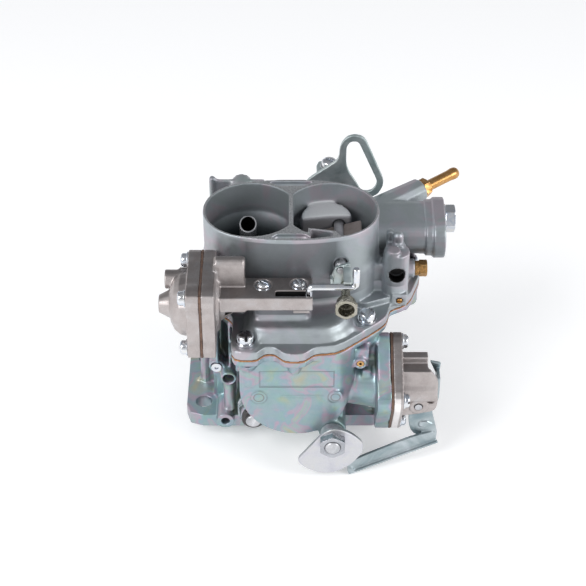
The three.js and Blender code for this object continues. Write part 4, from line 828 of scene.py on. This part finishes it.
SURFACES = [  # node, finish, voxel in mm, rounds of smoothing
    ("main_body", "body_zinc", 0.5, 3),
    ("top_cover", "cover_zinc", 0.55, 4),
    ("vacuum_housing", "cast_aluminium", 0.45, 4),
    ("vacuum_cover", "cast_aluminium", 0.45, 5),
    ("pump_cover", "cast_aluminium", 0.42, 4),
    ("pump_lever", "lever_zinc", 0.36, 4),
    ("rear_bracket", "loop_zinc", 0.4, 5),
    ("pump_cam", "disc_zinc", 0.36, 5),
    ("choke_lever", "loop_zinc", 0.3, 3),
    ("primary_lever", "loop_zinc", 0.4, 4),
    ("secondary_lever", "loop_zinc", 0.4, 4),
    ("throttle_link", "loop_zinc", 0.4, 4),
    ("choke_shaft", "steel", 0.3, 6),
    ("choke_plate", "plate_zinc", 0.3, 2),
]
RELAXED = [  # node, box in mm, rounds: raised deck, horn, left throat, body behind the bowl's front face
    ("top_cover", (-50, -52, 78.6), (60, -24.5, 88), 40),
    ("top_cover", (-50, -40, 89), (50, 40, 122.5), 14),
    ("top_cover", (-46, -25, 84), (-2, 25, 106), 40),
    ("main_body", (-60, -51.5, 20), (60, 30, 68), 10),
]
PLAIN = {  # in the order they are finished
    "cover_gasket": "gasket", "pump_diaphragm": "diaphragm", "vacuum_diaphragm": "diaphragm",
    "needle_seat": "brass", "inlet_needle": "steel", "float_pin": "steel", "float": "float_plastic",
    "booster_primary": "cover_zinc", "booster_secondary": "cover_zinc",
    "gallery_plug": "bright_zinc", "mixture_screw": "bright_zinc",
    "primary_plate": "brass", "secondary_plate": "brass",
    "pump_lever_pin": "steel", "pump_plunger": "steel",
}
SPRINGS = {"return_spring": "lever_zinc", "pump_spring": "steel", "vacuum_spring": "steel"}


# ---------------------------------------------------------------- studio
CAMERA = {"elevation": 38.0, "distance": 850.0, "target": (1.0, 0.0, 70.0), "lens": 96.2}
LIGHTS = [  # name, place and size in metres, power in watts
    ("key", (-0.7, -0.5, 0.75), 0.6, 7),
    ("fill", (0.8, -0.35, 0.5), 0.5, 4),
]


def add_camera():
    e = math.radians(CAMERA["elevation"])
    target = Vector(CAMERA["target"]) * MM
    offset = Vector((0, -math.cos(e), math.sin(e))) * CAMERA["distance"] * MM
    data = bpy.data.cameras.new("camera")
    data.lens = CAMERA["lens"]
    data.sensor_width = 36
    data.clip_start = 0.01
    camera = bpy.data.objects.new("camera", data)
    bpy.context.scene.collection.objects.link(camera)
    camera.location = target + offset
    camera.rotation_euler = (math.pi / 2 - e, 0, 0)
    bpy.context.scene.camera = camera


def add_area(name, location, size, power, aim_at=(0, 0, 0.07)):
    data = bpy.data.lights.new(name, "AREA")
    data.energy = power
    data.size = size
    light = bpy.data.objects.new(name, data)
    bpy.context.scene.collection.objects.link(light)
    light.location = location
    light.rotation_euler = (Vector(aim_at) - Vector(location)).to_track_quat("-Z", "Y").to_euler()


def add_world():
    """A light tent: white at the horizon, darkest half way up, grey overhead, for the metal to mirror."""
    world = bpy.data.worlds.new("studio")
    bpy.context.scene.world = world
    world.use_nodes = True
    tree = world.node_tree
    background = tree.nodes["Background"]
    direction = put(tree, "ShaderNodeTexCoord").outputs["Generated"]
    height = put(tree, "ShaderNodeSeparateXYZ", Vector=direction).outputs[2]
    tent = [
        (0.0, (1.0, 1.0, 1.0)),
        (0.3, (0.75, 0.76, 0.78)),
        (0.55, (0.34, 0.35, 0.37)),
        (1.0, (0.55, 0.56, 0.58)),
    ]
    tree.links.new(ramp(tree, height, tent), background.inputs["Color"])
    background.inputs["Strength"].default_value = 1.0


def add_floor():
    """Pale floor just under the lowest point of the CAD."""
    half_size, gap = 3.0, 0.0002
    mesh = bmesh.new()
    level = Matrix.Translation((0, 0, cad_bounds[0][2] - gap))
    bmesh.ops.create_grid(mesh, x_segments=8, y_segments=8, size=half_size, matrix=level)
    data = bpy.data.meshes.new("floor")
    mesh.to_mesh(data)
    mesh.free()
    floor = bpy.data.objects.new("floor", data)
    bpy.context.scene.collection.objects.link(floor)
    surface = bpy.data.materials.new("floor_paint")
    surface.use_nodes = True
    shader = surface.node_tree.nodes["Principled BSDF"]
    shader.inputs["Base Color"].default_value = (0.9, 0.9, 0.9, 1)
    shader.inputs["Roughness"].default_value = 0.9
    shader.inputs["Emission Color"].default_value = (1, 1, 1, 1)
    shader.inputs["Emission Strength"].default_value = 0.25
    data.materials.append(surface)


materials = {name: material(name, *look, **extras) for name, (look, extras) in FINISHES.items()}
for row in SURFACES:
    cast_surface(*row)
for row in RELAXED:
    relax(*row)
for node_name, finish_name in PLAIN.items():
    crisp(node_name, finish_name)
for node_name, finish_name in SPRINGS.items():
    coil(node_name, finish_name)
all_screws()
cam_nut()
inlet_plug_bolt()
idle_jet()
bracket_screw()
pulldown_wire()
pipe()
vent_pipe()
for row in SHAFTS:
    shaft(*row)
clamp()
jets()
add_camera()
add_world()
for row in LIGHTS:
    add_area(*row)
add_floor()
bpy.context.scene.view_settings.view_transform = "Standard"
